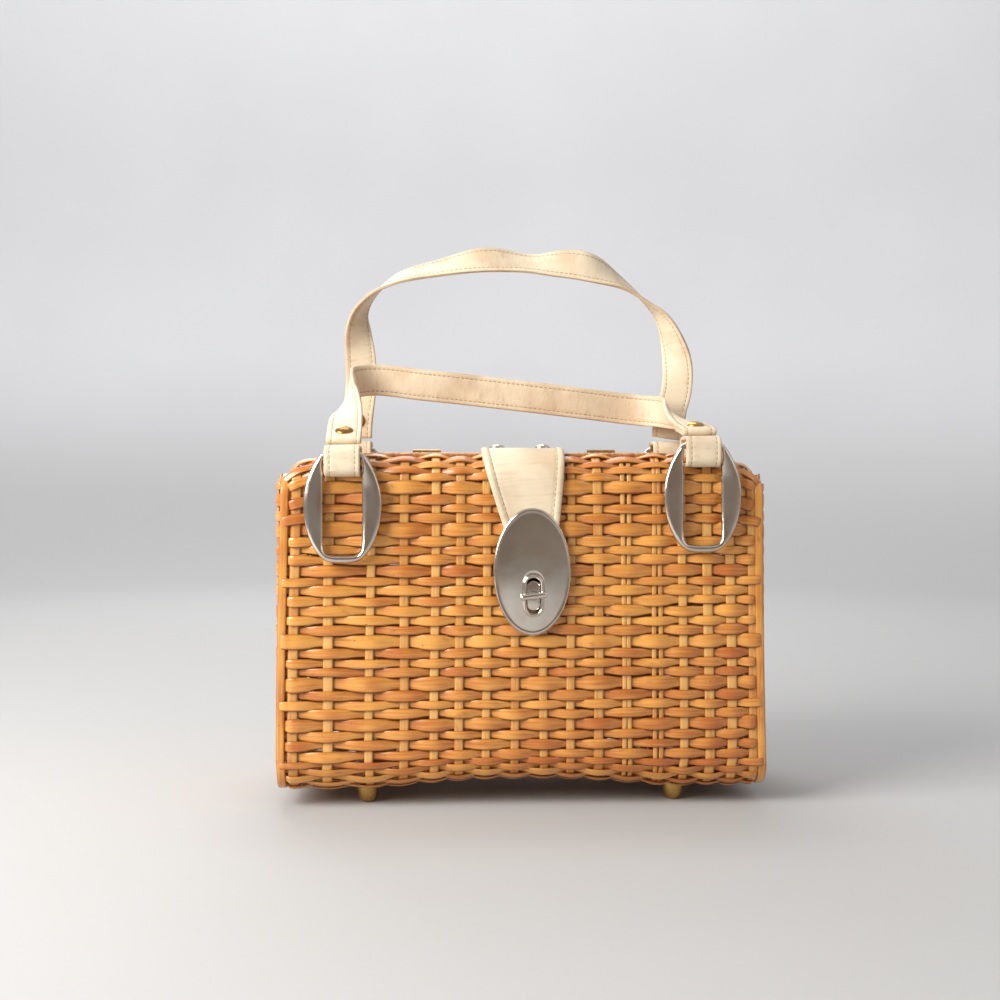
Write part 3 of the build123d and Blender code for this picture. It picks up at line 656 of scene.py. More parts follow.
# %% Front, back, top and bottom
TOP_START = WALL_RUN + ROLL_RUN
zones = {
    "front": rows_between(-ROLL_RUN, 0, ROLL_CYCLE) + rows_between(0, WALL_RUN, ROW_CYCLE)
    + rows_between(WALL_RUN, TOP_START, ROLL_CYCLE),
    "top": rows_between(TOP_START, TOP_START + FLAT_RUN, TOP_CYCLE),
    "back": rows_between(TOP_START + FLAT_RUN, HALF_ROUND, ROLL_CYCLE)
    + rows_between(HALF_ROUND, HALF_ROUND + WALL_RUN, ROW_CYCLE[::-1])
    + rows_between(HALF_ROUND + WALL_RUN, HALF_ROUND + TOP_START, ROLL_CYCLE),
    "bottom": rows_between(HALF_ROUND + TOP_START, 2 * HALF_ROUND - ROLL_RUN, TOP_CYCLE),
}
REACH = HALF_X + 0.4  # where a weaver ends, behind the corner strip
TUCK_FROM = HALF_X - 5.0
TIE_EVERY = 6
FULL, FULL_BACK = 0.98, 1.08  # how much of its row a weaver fills; the back is packed tighter
MOUTH_HALF = 74.0
RIM = 2.1  # radius of the wrapped rims
row_count = 0
for zone, rows in zones.items():
    sheaf = Sheaf()
    for level, width in rows:
        row_count += 1
        tie = row_count % TIE_EVERY == 0
        across_mouth = zone == "top" and profile(level)[0] < MOUTH_BACK + RIM
        spans = [(-REACH, REACH)]
        if across_mouth:
            spans = [(-REACH, -MOUTH_HALF - RIM), (MOUTH_HALF + RIM, REACH)]
        for span in spans:
            full = FULL_BACK if zone == "back" else FULL
            weaver(sheaf, side_surface, span, level, width, STAKES, row_count, TUCK_FROM, tie, full)
    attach(sheaf.make(f"cane_{zone}", weaver_finish, "cane", ["basket_body"]), "basket")

# %% [markdown]
# Stakes outside the mouth run all the way round the box as hoops. Those under it stop at its front and
# back edge. Two of them are pairs of half-width strips. One more flat strip runs round the edge of each
# end and hides where the weavers turn in.

# %% The stakes, and the strips at the corners
stakes = Sheaf()
for x in STAKES:
    offsets = (-1.45, 1.45) if x in PAIRED else (0.0,)
    wide = 2.5 if x in PAIRED else STAKE_WIDE * draw.uniform(0.9, 1.08)
    for offset in offsets:
        if abs(x) > MOUTH_HALF:
            upright(stakes, x + offset, (0, 2 * HALF_ROUND), MID_DEPTH, wide, closed=True)
        else:
            start = TOP_START + MOUTH_BACK - MOUTH_FRONT
            upright(stakes, x + offset, (start, 2 * HALF_ROUND + TOP_START), MID_DEPTH, wide)
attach(stakes.make("cane_stakes", stake_finish, "cane", ["basket_body"]), "basket")

corner_strips = Sheaf()
for side in (-1, 1):
    upright(corner_strips, side * (HALF_X - 0.8), (0, 2 * HALF_ROUND), 0.2, 4.4, closed=True)
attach(corner_strips.make("cane_corner_strips", weaver_finish, "cane", ["basket_body"]), "basket")

# %% [markdown]
# The two ends are panels of the same weave, swollen a little like a drum skin. Their weavers run across
# the bag at the heights of the front rows, over eight stakes.

# %% The two ends
for side, side_name in ((-1, "left"), (1, "right")):
    surface = end_surface(side)
    panel = Sheaf()
    for number, (level, width) in enumerate(zones["front"]):
        y, z = (float(v) for v in profile(level)[:2])
        if not UNDERSIDE + 3 < z < ROOF - 1.5:
            continue
        half = -y - 3.2
        weaver(panel, surface, (-half, half), z, width, END_STAKES, number)
    panel_piece = panel.make(f"cane_end_{side_name}", weaver_finish, "cane", ["basket_body"])
    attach(panel_piece, "basket")
    posts = Sheaf()
    for y in END_STAKES:
        corner = math.sqrt(max(ROLL**2 - max(abs(y) - CREST, 0) ** 2, 0)) - ROLL
        z = np.linspace(UNDERSIDE + 3 - corner, ROOF - 3 + corner, 60)
        path = surface(y + 0.4 * np.sin(z / 25 + y), z, MID_DEPTH)
        stake(posts, path, np.broadcast_to(X_AXIS * side, path.shape), STAKE_WIDE)
    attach(posts.make(f"cane_end_stakes_{side_name}", stake_finish, "cane", ["basket_body"]), "basket")

# %% [markdown]
# ## The mouth and its lid
# Where a weave is cut, the ends have to be hidden and held, so a maker lashes them to a rod. The mouth
# and the lid each have such a rim: a round rod wound closely with fine cane, whose turns show as ridges.
# The lid is a flat mat of the same weave inside its rim.

# %% Rims
ROUND = circle(12)
WINDING = 3.1  # width of one turn of the winding


def rounded_outline(half_x, y_low, y_high, radius, z, step=0.8):
    """A closed rounded rectangle, anticlockwise seen from above."""
    centres = [
        (half_x - radius, y_low + radius, -90), (half_x - radius, y_high - radius, 0),
        (radius - half_x, y_high - radius, 90), (radius - half_x, y_low + radius, 180),
    ]
    corner = np.radians(np.linspace(0, 90, 9))
    points = [
        (x + radius * math.cos(turn), y + radius * math.sin(turn), z)
        for x, y, start in centres
        for turn in corner + math.radians(start)
    ]
    return evenly(np.array([*points, points[0]]), step)[:-1]


def wrapped_rim(name, path, body, node):
    """A rod along a closed path, wound with cane."""
    turn = travelled(path) / WINDING
    swell = 0.9 + 0.1 * np.abs(np.sin(math.pi * turn))
    sheaf = Sheaf()
    rings = carried(path, np.broadcast_to(Z_AXIS, path.shape), ROUND, RIM * swell, RIM * swell, True)
    grain = grain_of(path, ROUND, next_number())
    grain[..., 2] += np.floor(turn)[:, None]
    sheaf.sweep(rings, grain, closed=True)
    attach(sheaf.make(name, rattan_finish, "rattan", [node]), body)


lid_low, lid_high = corners("lid")
mouth_path = rounded_outline(MOUTH_HALF + RIM, MOUTH_FRONT - RIM, MOUTH_BACK + RIM, 9.0, ROOF - RIM)
wrapped_rim("mouth_rim", mouth_path, "basket", "basket_body")
lid_path = rounded_outline(
    lid_high[0] - RIM, lid_low[1] + RIM, lid_high[1] - RIM, 6.0, ROOF - RIM - 0.2
)
wrapped_rim("lid_rim", lid_path, "lid", "lid")

# %% [markdown]
# The lid's mat reuses the weaver on a flat surface. It takes the same stakes as the box below, so that
# the pattern carries on across the gap when the lid is shut.


# %% The lid's mat
def lid_surface(x, y, depth):
    """The lid is flat."""
    return np.stack([x + 0 * depth, y + 0 * depth, ROOF - depth + 0 * x], axis=-1)


lid_mat = Sheaf()
lid_half = lid_high[0] - RIM
lid_stakes = [x for x in STAKES if abs(x) < lid_half - 2]
for number, (level, width) in enumerate(rows_between(lid_low[1] + RIM, lid_high[1] - RIM, TOP_CYCLE)):
    weaver(lid_mat, lid_surface, (-lid_half, lid_half), level, width, lid_stakes, number)
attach(lid_mat.make("lid_mat", weaver_finish, "cane", ["lid"]), "lid")
lid_posts = Sheaf()
for x in lid_stakes:
    y = np.linspace(lid_low[1] + RIM, lid_high[1] - RIM, 24)
    path = lid_surface(x + 0 * y, y, MID_DEPTH + 0 * y)
    stake(lid_posts, path, np.broadcast_to(Z_AXIS, path.shape), STAKE_WIDE)
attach(lid_posts.make("lid_stakes", stake_finish, "cane", ["lid"]), "lid")

# %% [markdown]
# ## Leather
# The straps and the clasp tab are cream leather, folded and sewn. Leather is matt with a faint sheen,
# its grain is a net of tiny cells with fine wrinkles across the strap, and handling darkens it in
# patches. The thread is a little darker than the skin.

# %% Leather and thread
def leather(name, cream, tan):
    """Smooth cream leather with a fine cell grain, wrinkles, patches of wear, and darker rounded edges,
    partly cut-edge colour and partly painted shade.
    """
    f = Finish(name, coat_weight=0.12, coat_roughness=0.35, specular_ior_level=0.4)
    where = f.where()
    along, across, strip = f.grain()
    cell_inputs = {"Vector": where, "Scale": 1100.0}
    cells = f.node("ShaderNodeTexVoronoi", {"feature": "DISTANCE_TO_EDGE"}, cell_inputs)
    wrinkles = f.noise(f.place(along * 0.5, across * 1.1, strip), 1.0, 4.0)
    patches = f.noise(where, 38.0, 3.0)
    soil = patches.over(0.42, 0.75) * 0.6 + wrinkles.over(0.5, 0.8) * 0.35
    # Darker rounded edges: partly the colour of the cut edge, partly painted shade where the edge turns
    # away from the light.
    edge = abs(across).over(0.9, 1.0) * 0.35
    f.feed(
        base_color=f.mixed(cream, tan, soil + edge),
        roughness=0.42 + patches * 0.22,
        normal=f.bump(cells.over(0.0, 0.25) * 0.35 + wrinkles, 0.4, 0.0005),
    )
    return f.material


def thread(name, colour, shadow):
    """Waxed thread with a twist that shows as fine light and dark."""
    f = Finish(name, roughness=0.6)
    twist = f.noise(f.where(), 2600.0, 1.0)
    f.feed(base_color=f.mixed(shadow, colour, twist.over(0.35, 0.65)))
    return f.material


leather_finish = leather("leather_cream", paint(231, 213, 184), paint(186, 153, 119))
thread_finish = thread("thread_waxed", paint(206, 188, 150), paint(150, 124, 88))
print("leather finishes:", leather_finish.name, thread_finish.name)

# %% [markdown]
# A strap is a band with a rounded edge, and its two skins meet there in a thin groove. Beside each edge
# the thread has pulled the leather into a shallow furrow, and the stitches lie in it. So the section
# has a point for each of these, and the stitches are small real humps, set along the furrow.

# %% Bands and stitches
STRAP_HALF, PLY, FURROW, STITCH_PITCH = 9.0, 2.0, 2.6, 2.7
FURROW_DEPTH = 0.86  # height of the furrow's floor, as a share of half the thickness


def band_section(half, furrow=FURROW, bead=0.0):
    """Section of a sewn band for each station, anticlockwise, in millimetres."""
    edge = [
        (0.0, 0.35), (0.25, 0.82), (0.8, 1.0 + bead), (furrow - 0.6, 1.0 + bead),
        (furrow, 0.8), (furrow + 0.6, 1.0), (furrow + 2.2, 1.06),
    ]
    half = np.asarray(half, float)
    top = [(half - inset, v) for inset, v in edge] + [(0 * half, 1.1)]
    top += [(inset - half, v) for inset, v in edge[::-1]]
    groove = 0.3
    points = [*top, (groove - half, 0.0), *[(-u, -v) for u, v in top], (half - groove, 0.0)]
    return np.stack([np.stack([u, v * PLY / 2 + 0 * u], axis=-1) for u, v in points], axis=1)


def band(sheaf, path, normals, half, closed=False, **section_sizes):
    """A sewn band along a path."""
    section = band_section(np.broadcast_to(half, len(path)), **section_sizes)
    grain = np.zeros((*section.shape[:2], 3))
    grain[..., 0] = travelled(path)[:, None]
    grain[..., 1] = section[..., 0] / np.abs(section[..., 0]).max()
    sheaf.sweep(carried(path, normals, section, closed=closed), grain, closed)


print("section of a strap, points:", band_section(np.array([STRAP_HALF])).shape[1])

# %% [markdown]
# A stitch is a short thread that goes down into the leather at both ends. One small section is set at
# four spots along the furrow, and the two outer spots are sunk.

# %% Stitches
STITCH = circle(6)
STITCH_SPOTS = np.array([-0.9, -0.6, 0.6, 0.9])  # along a stitch, from its middle
STITCH_DIP = np.array([-0.22, 0.02, 0.02, -0.22])[:, None]  # its ends sink into the leather
STITCH_WIDE, STITCH_HIGH = 0.3, 0.26


def stitches(sheaf, path, normals, beside, lift, closed=False):
    """A row of stitches beside a path; beside and lift are in millimetres across and up."""
    if closed:
        path, normals = np.vstack([path, path[:1]]), np.vstack([normals, normals[:1]])
    tangent = unit(np.gradient(path, axis=0))
    across = unit(np.cross(normals, tangent))
    up = np.cross(tangent, across)
    line = path + across * np.reshape(beside, (-1, 1)) + up * lift
    along = travelled(line)
    facing = up * np.sign(lift)
    for middle in np.arange(STITCH_PITCH, along[-1] - STITCH_PITCH, STITCH_PITCH):
        spots = middle + STITCH_SPOTS
        points = np.stack([np.interp(spots, along, c) for c in line.T], axis=1)
        out = unit(np.stack([np.interp(spots, along, c) for c in facing.T], axis=1))
        points = points + out * STITCH_DIP
        sheaf.sweep(carried(points, out, STITCH, STITCH_WIDE, STITCH_HIGH), np.zeros(3))


def sewn_piece(name, body, node, path, normals, closed=False, faces=(1, -1)):
    """A strap and its stitching on the given faces, riding on a body."""
    skin, sewing = Sheaf(), Sheaf()
    band(skin, path, normals, STRAP_HALF, closed)
    for side in (1, -1):
        for face in faces:
            lift = face * FURROW_DEPTH * PLY / 2
            stitches(sewing, path, normals, side * (STRAP_HALF - FURROW), lift, closed)
    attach(skin.make(name, leather_finish, "leather", [node]), body)
    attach(sewing.make(name + "_stitching", thread_finish, "leather"), body)


print("stitches are", STITCH_PITCH, "mm apart")

# %% [markdown]
# ## The strap loops
# Each ring hangs in a fold of strap that goes over the ring's bar and back through the rim of the
# basket. Seen from the side it is a closed loop, so its path is a rounded oblong in the bag's depth and
# height.

# %% Strap loops
RINGS = {
    f"{row_name}_{side_name}": (row, side)
    for row_name, row in (("front", -1), ("back", 1))
    for side_name, side in (("left", -1), ("right", 1))
}
CREST_RISE = 0.3  # closes the hairline under the handle's foot
LOOP_CORNER = 3.4
for name in RINGS:
    low, high = corners(f"strap_loop_{name}")
    middle = (low + high) / 2
    half_deep = (high[1] - low[1]) / 2 - PLY / 2
    bottom, crest = low[2] + PLY / 2, high[2] - PLY / 2 + CREST_RISE
    flat = rounded_outline(half_deep, bottom, crest, LOOP_CORNER, 0.0, step=1.0)
    path = np.stack([np.full(len(flat), middle[0]), middle[1] + flat[:, 0], flat[:, 1]], axis=1)
    outward = np.cross(unit(np.roll(path, -1, 0) - np.roll(path, 1, 0)), X_AXIS)
    sewn_piece(f"loop_{name}", "basket", f"strap_loop_{name}", path, outward, closed=True, faces=(1,))

# %% [markdown]
# ## The two handles
# A handle is one long strap whose ends are folded double and riveted. It twists on its way: at the foot
# its face looks along the bag's depth, and at the top it lies across. The stations below follow the
# frame's handles, each with its place and the direction across the strap. Only the back handle's legs
# differ: they lean in a little and turn later, as soft leather does. A smooth line goes through the
# stations, and the direction is carried along with it.

# %% Handle stations
FOOT_INSET, FOOT_LIFT = 5.0, 0.5  # a foot's distance in from the front face, and above its loop
HANDLE_FEET = {}
for name, (row, side) in RINGS.items():
    low, high = corners(f"strap_loop_{name}")
    HANDLE_FEET[name] = np.array(
        [low[0] + STRAP_HALF, row * (FACE - FOOT_INSET), high[2] + FOOT_LIFT + PLY]
    )


def turned(start, end, degrees):
    """A direction turned from one axis towards another."""
    return math.cos(math.radians(degrees)) * start + math.sin(math.radians(degrees)) * end


def leg(foot, steps, start, end):
    """Stations of a leg: steps from its foot, each with its twist."""
    return [(HANDLE_FEET[foot] + (x, y, z), turned(start, end, twist)) for x, y, z, twist in steps]


front_stations = leg(
    "front_left",
    [(0, 0, 0, 0), (-0.3, 9.5, 3.9, 0), (-0.5, 16, 6.9, 0), (-0.8, 31, 13.5, 12), (-0.9, 46, 20.2, 38),
     (-0.9, 62, 27.2, 67), (-0.4, 76, 33.6, 84), (1.2, 84, 37.0, 90), (6.5, 88.5, 38.4, 90)],
    X_AXIS, Z_AXIS,
)
front_stations += [(np.array([x, y, ROOF + up]), Z_AXIS) for x, y, up in
                   ((-50, 39.5, 41.0), (-10, 40.0, 36.8), (35, 39.8, 31.6))]
front_stations += leg(
    "front_right",
    [(-13.2, 88.5, 16.2, 90), (-8.6, 84, 15.6, 90), (-7.2, 76, 14.6, 84), (-5.9, 62, 12.2, 67),
     (-4.2, 46, 9.2, 38), (-2.6, 31, 6.3, 12), (-1.2, 16, 3.3, 0), (-0.6, 9.5, 2.0, 0), (0, 0, 0, 0)],
    -X_AXIS, Z_AXIS,
)
print("stations of the front strap:", len(front_stations))

# %% [markdown]
# The front handle has fallen back towards the other and lies nearly level. The back handle stands up,
# and its top is a little crumpled, so every station there has a tilt of its own.

# %% Stations of the back handle
back_stations = leg(
    "back_left",
    [(0, 0, 0, 0), (0.4, 0.6, 9.5, 0), (1.2, 1.2, 17, 0), (2.6, 3.0, 31, 3), (2.2, 5.0, 49, 14),
     (1.4, 6.4, 62, 36), (2.8, 7.0, 73, 64), (8.4, 7.0, 82.0, 84)],
    -X_AXIS, -Y_AXIS,
)
TOP_NEAR_Y = 48.0
for x, up, tilt in ((-70, 99.5, 22), (-42, 105.0, 40), (-15, 107.8, 59), (12, 107.2, 44),
                    (42, 103.2, 80), (66, 97.5, 30), (79, 90.5, 10)):
    across = turned(-Y_AXIS, -Z_AXIS, tilt)
    back_stations.append((np.array([x, TOP_NEAR_Y, ROOF + up]) - across * STRAP_HALF, across))
back_stations += leg(
    "back_right",
    [(-2.6, 7.0, 71.5, 76), (3.6, 6.4, 58, 52), (7.0, 5.4, 44, 24), (6.8, 3.6, 30, 8),
     (3.4, 1.4, 17, 0), (1.6, 0.6, 9.5, 0), (0, 0, 0, 0)],
    X_AXIS, -Y_AXIS,
)
print("stations of the back strap:", len(back_stations))

# %% [markdown]
# With the stations set, the strap is a band that starts with its folded end, turns round the foot in a
# half circle, follows the line and ends the same way. The rivets sit at the second station from each
# end, and their direction is noted for later.

# %% The straps
FOLD_LENGTH, STRAP_STEP = 17.0, 1.5
rivet_spots = {}
for row_name, stations in (("front", front_stations), ("back", back_stations)):
    centres, directions = (np.array(column) for column in zip(*stations))
    spread = evenly(through(centres), STRAP_STEP, through(centres, directions))
    line, across = (column[1:-1] for column in spread)
    tangent = unit(np.gradient(line, axis=0))
    across = unit(across - tangent * np.sum(across * tangent, axis=1, keepdims=True))
    outward = np.cross(across, tangent)
    fold = int(FOLD_LENGTH / STRAP_STEP)
    turn = np.linspace(0, math.pi, 8)[1:-1, None]
    around = [
        -np.cos(turn) * outward[end] - np.sin(turn) * away * tangent[end]
        for end, away in ((0, 1), (-1, -1))
    ]
    path = np.vstack([
        (line - outward)[:fold][::-1], line[0] + around[0], line + outward,
        line[-1] + around[1][::-1], (line - outward)[-fold:][::-1],
    ])
    normals = np.vstack([
        -outward[:fold][::-1], around[0], outward, around[1][::-1], -outward[-fold:][::-1],
    ])
    sewn_piece(f"strap_{row_name}", f"{row_name}_handle", f"handle_{row_name}", path, normals)
    for side_name, station in (("left", 1), ("right", -2)):
        nearest = int(np.argmin(np.linalg.norm(line - stations[station][0], axis=1)))
        rivet_spots[f"{row_name}_{side_name}"] = (stations[station][0], outward[nearest])
    print("strap", row_name, "is", round(float(travelled(line)[-1])), "mm long")

# %% [markdown]
# ## The clasp tab
# The tab is one piece of leather. It is fixed to the lid by two studs, rolls over the front edge, and
# narrows towards the oval plate. Because it bends when the clasp is lifted, it rides on neither the lid
# nor the flap, and stays where it is made.

# %% Tab
root_low, root_high = corners("tab_root")
flap_low = corners("clasp_tab")[0]
plate_low, plate_high = corners("clasp_plate")
plate_middle = (plate_low + plate_high) / 2
tab_middle = (root_low + root_high) / 2
skin = PLY / 2
TAB_TIP_HALF, TAB_FURROW = 13.9, 3.8
NARROW_ABOVE = 21.7  # the tab keeps its width from this far above the plate's middle downwards
LEG_OFFSET, LEG_HALF = 9.7, 4.0  # the two legs of the tab beside the slot, under the plate
bend_radius = -CREST - flap_low[1] - skin
fold = np.linspace(0, math.pi / 2, 22)
slot_top = corners("clasp_eyelet")[1][2] + 0.6
tab_yz = [(root_high[1], root_high[2] - skin), (-CREST, root_high[2] - skin)]
tab_yz += [(-CREST - bend_radius * math.sin(a), WALL_HIGH + bend_radius * math.cos(a)) for a in fold[1:]]
tab_yz += [(flap_low[1] + skin, slot_top)]
tab_line = evenly(np.array([(0, y, z) for y, z in tab_yz]), 1.2)
narrow_z = plate_middle[2] + NARROW_ABOVE
narrowing = np.clip((ROOF - tab_line[:, 2]) / (ROOF - narrow_z), 0, 1)
top_half = root_high[0] - tab_middle[0]
tab_half = top_half - (top_half - TAB_TIP_HALF) * narrowing**1.15
tab_line[:, 0] = tab_middle[0] + (plate_middle[0] - tab_middle[0]) * narrowing
slope = unit(np.gradient(tab_line, axis=0))
tab_normals = unit(np.cross(slope, X_AXIS))
tab_skin, tab_sewing = Sheaf(), Sheaf()
band(tab_skin, tab_line, tab_normals, tab_half, furrow=TAB_FURROW, bead=0.3)
for side in (-1, 1):
    leg_x = plate_middle[0] + 0.5 + side * LEG_OFFSET
    ends = np.array([(leg_x, flap_low[1] + skin, z) for z in (slot_top + 1, flap_low[2])])
    leg_line = evenly(ends, 2.0)
    band(tab_skin, leg_line, np.broadcast_to(-Y_AXIS, leg_line.shape), LEG_HALF, furrow=2.0)
    stitches(tab_sewing, tab_line, tab_normals, side * (tab_half - TAB_FURROW), 0.84 * skin)
for piece in (
    tab_skin.make("tab", leather_finish, "leather", ["tab_root", "clasp_tab"]),
    tab_sewing.make("tab_stitching", thread_finish, "leather"),
):
    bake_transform(piece)

# %% [markdown]
# ## Metal
# The rings, the plate and the lock are nickel, polished but handled: it mirrors the room softly, with
# faint cloudy marks and hairline scratches. The feet, rivets, studs and hinges are brass, warmer and a
# little duller.


# %% Nickel and brass
def metal(name, colour, tarnish, gloss, marks):
    """Polished metal with cloudy marks and hairline scratches."""
    f = Finish(name, metallic=1.0)
    where = f.where()
    cloud = f.noise(where, 55.0, 3.0)
    smear = f.noise(where, 260.0, 2.0)
    hairs = f.noise(f.stretched(where, 2400, 160, 300), 1.0, 2.0)
    f.feed(
        base_color=f.mixed(colour, tarnish, cloud.over(0.28, 0.8) * marks),
        roughness=gloss + cloud * 0.08 + smear * 0.06,
        normal=f.bump(cloud * 1.5 + hairs * 0.12, 0.12, 0.0006),
    )
    return f.material


nickel_finish = metal("nickel_polished", paint(224, 218, 208), paint(196, 172, 156), 0.07, 0.8)
brass_finish = metal("brass_worn", paint(214, 172, 104), paint(142, 100, 48), 0.2, 0.9)
print("metal finishes:", nickel_finish.name, brass_finish.name)

# %% [markdown]
# Rivets, studs and feet are turned parts. Each is a profile of radius and height: a low dome for a
# rivet, a flat dome for a stud, a rounded cone for a foot. The hidden shanks are turned with them.


# %% Rivets, studs and feet
def turned_piece(name, body, node, parts, finish=brass_finish, slot="brass"):
    """One piece turned from several profiles, each with its centre and axis."""
    sheaf = Sheaf()
    for outline, centre, axis in parts:
        lathe(sheaf, outline, centre, axis)
    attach(sheaf.make(name, finish, slot, [node]), body)


DOME = [
    (0.01, 1.75), (1.5, 1.65), (2.9, 1.3), (4.0, 0.75), (4.6, 0.2), (4.75, -0.15), (4.6, -0.4),
    (0.01, -0.4),
]
STUD_HEAD = [(0.01, -0.2), (4.1, -0.2), (4.25, 0.3), (3.9, 1.0), (3.0, 1.7), (1.6, 2.1), (0.01, 2.2)]
FOOT_CAP = [
    (0.01, 0.0), (1.6, 0.1), (2.9, 0.45), (3.9, 1.15), (4.9, 2.8), (5.5, 4.8), (5.85, 7.0), (6.0, 8.2),
    (6.0, 9.3), (5.6, 10.0), (1.5, 10.0),
]
HEAD_LIFT, FOOT_SHANK, STUD_SHANK = 2.4, 1.5, 1.2
for name, (spot, axis) in rivet_spots.items():
    body = name.split("_")[0] + "_handle"
    heads = [(DOME[::-1], spot + side * axis * HEAD_LIFT, side * axis) for side in (1, -1)]
    turned_piece(f"rivet_{name}", body, f"handle_rivet_{name}", heads)

for side_name in ("left", "right"):
    low, high = corners(f"tab_stud_{side_name}")
    centre = (low + high) / 2
    under = low[2] - root_high[2]
    shank = [(0.01, under), (STUD_SHANK, under), (STUD_SHANK, 0), (0.01, 0)]
    spot = (centre[0], centre[1], root_high[2])
    parts = [(STUD_HEAD, spot, Z_AXIS), (shank, spot, Z_AXIS)]
    turned_piece(f"stud_{side_name}", "lid", f"tab_stud_{side_name}", parts, nickel_finish, "nickel")

for name in RINGS:
    low, high = corners(f"foot_{name}")
    spot = ((low[0] + high[0]) / 2, (low[1] + high[1]) / 2, 0.0)
    outline = [*FOOT_CAP, (FOOT_SHANK, high[2]), (0.01, high[2])]
    turned_piece(f"foot_cap_{name}", "basket", f"foot_{name}", [(outline, spot, Z_AXIS)])

# %% [markdown]
# A ring was stamped from thick plate: two broad sides like crescents, joined by a round bar above and
# below. We trace its outer and its inner edge with the same number of points, and between each pair
# lies the section: a circle at the bars, and a flat band with bevelled edges at the sides, twisted a
# few degrees.

# %% The edges of a ring
RING_STEPS = 22
SIDE_TWIST = 9.0


def smoothed(loop, times):
    """A closed loop with its corners eased."""
    for _ in range(times):
        loop = (np.roll(loop, 1, 0) + 2 * loop + np.roll(loop, -1, 0)) / 4
    return loop


def ring_edges(half_wide, half_high, shoulder, opening, bar):
    """Outer and inner edge of a ring in X and Z, point for point, anticlockwise."""
    rise = np.linspace(-1, 1, RING_STEPS)
    flat = np.linspace(1, -1, 12)[1:-1]
    arc = half_wide - (half_wide - shoulder) * np.abs(rise) ** 2.1
    outer_side = np.stack([arc, rise * (half_high - bar / 2)], 1)
    outer_top = np.stack([flat * shoulder, np.full(len(flat), half_high)], 1)
    inner_side = np.stack([np.full(RING_STEPS, opening), rise * (half_high - 2 * bar)], 1)
    inner_top = np.stack([flat * opening, np.full(len(flat), half_high - 2 * bar)], 1)
    outer = np.vstack([outer_side, outer_top, -outer_side, -outer_top])
    inner = np.vstack([inner_side, inner_top, -inner_side, -inner_top])
    upper = outer[:, 1:] > 0  # the upper corners stay crisp, so that they clear the loop
    outer = np.where(upper, smoothed(outer, 3), smoothed(outer, 9))
    return outer, np.where(upper, inner, smoothed(inner, 5))


print("points round a ring:", 2 * (RING_STEPS + 10))

# %% [markdown]
# Where the two edges are far apart the section is the bevelled band, and where they are close it is the
# circle. Between the two it changes smoothly.

# %% Rings, edge to edge
BEVEL = np.array([
    (1, 0.15), (0.93, 0.62), (0.8, 0.95), (0.4, 1.0), (0, 1.0), (-0.4, 1.0), (-0.8, 0.95), (-0.93, 0.62),
    (-1, 0.15), (-1, -0.15), (-0.93, -0.62), (-0.8, -0.95), (-0.4, -1.0), (0, -1.0), (0.4, -1.0),
    (0.8, -0.95), (0.93, -0.62), (1, -0.15),
])
BEVEL_ANGLE = np.arctan2(BEVEL[:, 1], BEVEL[:, 0])
CIRCLE = np.stack([np.cos(BEVEL_ANGLE), np.sin(BEVEL_ANGLE)], axis=1)
BAR, SHOULDER, OPENING, SIDE_THICK = 2.0, 11.0, 9.75, 1.15  # halves: bar, shoulders, opening, sides
for name in RINGS:
    low, high = corners(f"ring_{name}")
    centre, size = (low + high) / 2, high - low
    outer, inner = ring_edges(size[0] / 2, size[2] / 2, SHOULDER, OPENING, BAR)
    middle, reach = (outer + inner) / 2, np.linalg.norm(outer - inner, axis=1) / 2
    flatness = np.clip((reach - BAR) / 2.6, 0, 1)[:, None, None]
    section = flatness * BEVEL + (1 - flatness) * CIRCLE
    half_thick = BAR + (SIDE_THICK - BAR) * flatness[:, 0, 0]
    twist = np.radians(SIDE_TWIST) * np.sign(middle[:, 0]) * flatness[:, 0, 0]
    level_way = unit(outer - inner)
    wide_way = np.stack([level_way[:, 0] * np.cos(twist), -np.sin(twist), level_way[:, 1]], axis=1)
    wide_way = unit(wide_way)
    line = np.stack([middle[:, 0], 0 * reach, middle[:, 1]], axis=1) + centre
    along = unit(np.roll(line, -1, 0) - np.roll(line, 1, 0))
    up_way = unit(np.cross(along, wide_way))
    rings = line[:, None] + section[..., :1] * (reach[:, None, None] * wide_way[:, None])
    rings = rings + section[..., 1:] * (half_thick[:, None, None] * up_way[:, None])
    sheaf = Sheaf()
    sheaf.sweep(rings[:, ::-1], np.zeros(3), closed=True)
    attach(sheaf.make(f"ring_plate_{name}", nickel_finish, "nickel", [f"ring_{name}"]), f"ring_{name}")

# %% [markdown]
# The oval plate is slightly domed, with a raised rim that catches a bright line, and it has a slot for
# the lock. The surface runs from the slot's edge out to the oval and back behind, once for each
# direction round the middle.

# %% The plate
ANGLES = np.linspace(0, 2 * math.pi, 96, endpoint=False)


def slot_outline(half_wide, half_high):
    """A slot with round ends, in X and Z."""
    straight = (half_high - half_wide) * np.clip(np.sin(ANGLES) * 3, -1, 1)
    return np.stack([half_wide * np.cos(ANGLES), straight + half_wide * np.sin(ANGLES)], axis=1)


eyelet_low, eyelet_high = corners("clasp_eyelet")
lock_middle = (eyelet_low + eyelet_high) / 2
plate_half = (plate_high - plate_low) / 2
slot_edge = slot_outline(4.85, 10.2) + (lock_middle - plate_middle)[[0, 2]]
oval_edge = np.stack([plate_half[0] * np.cos(ANGLES), plate_half[2] * np.sin(ANGLES)], axis=1)
EDGE_THICK, DOME_RISE, RIM_RISE, EDGE_ROLL = 0.55, 1.35, 0.38, 0.5
RIM_AT, RIM_WIDE = 0.965, 0.018  # where the raised rim runs, and its width, as shares of the way out
shares = np.concatenate([np.linspace(0, 0.9, 12), [0.93, 0.955, 0.975, 0.99, 1.0]])
flat = slot_edge[:, None] + shares[None, :, None] * (oval_edge - slot_edge)[:, None]
outness = np.sqrt((flat[..., 0] / plate_half[0]) ** 2 + (flat[..., 1] / plate_half[2]) ** 2)
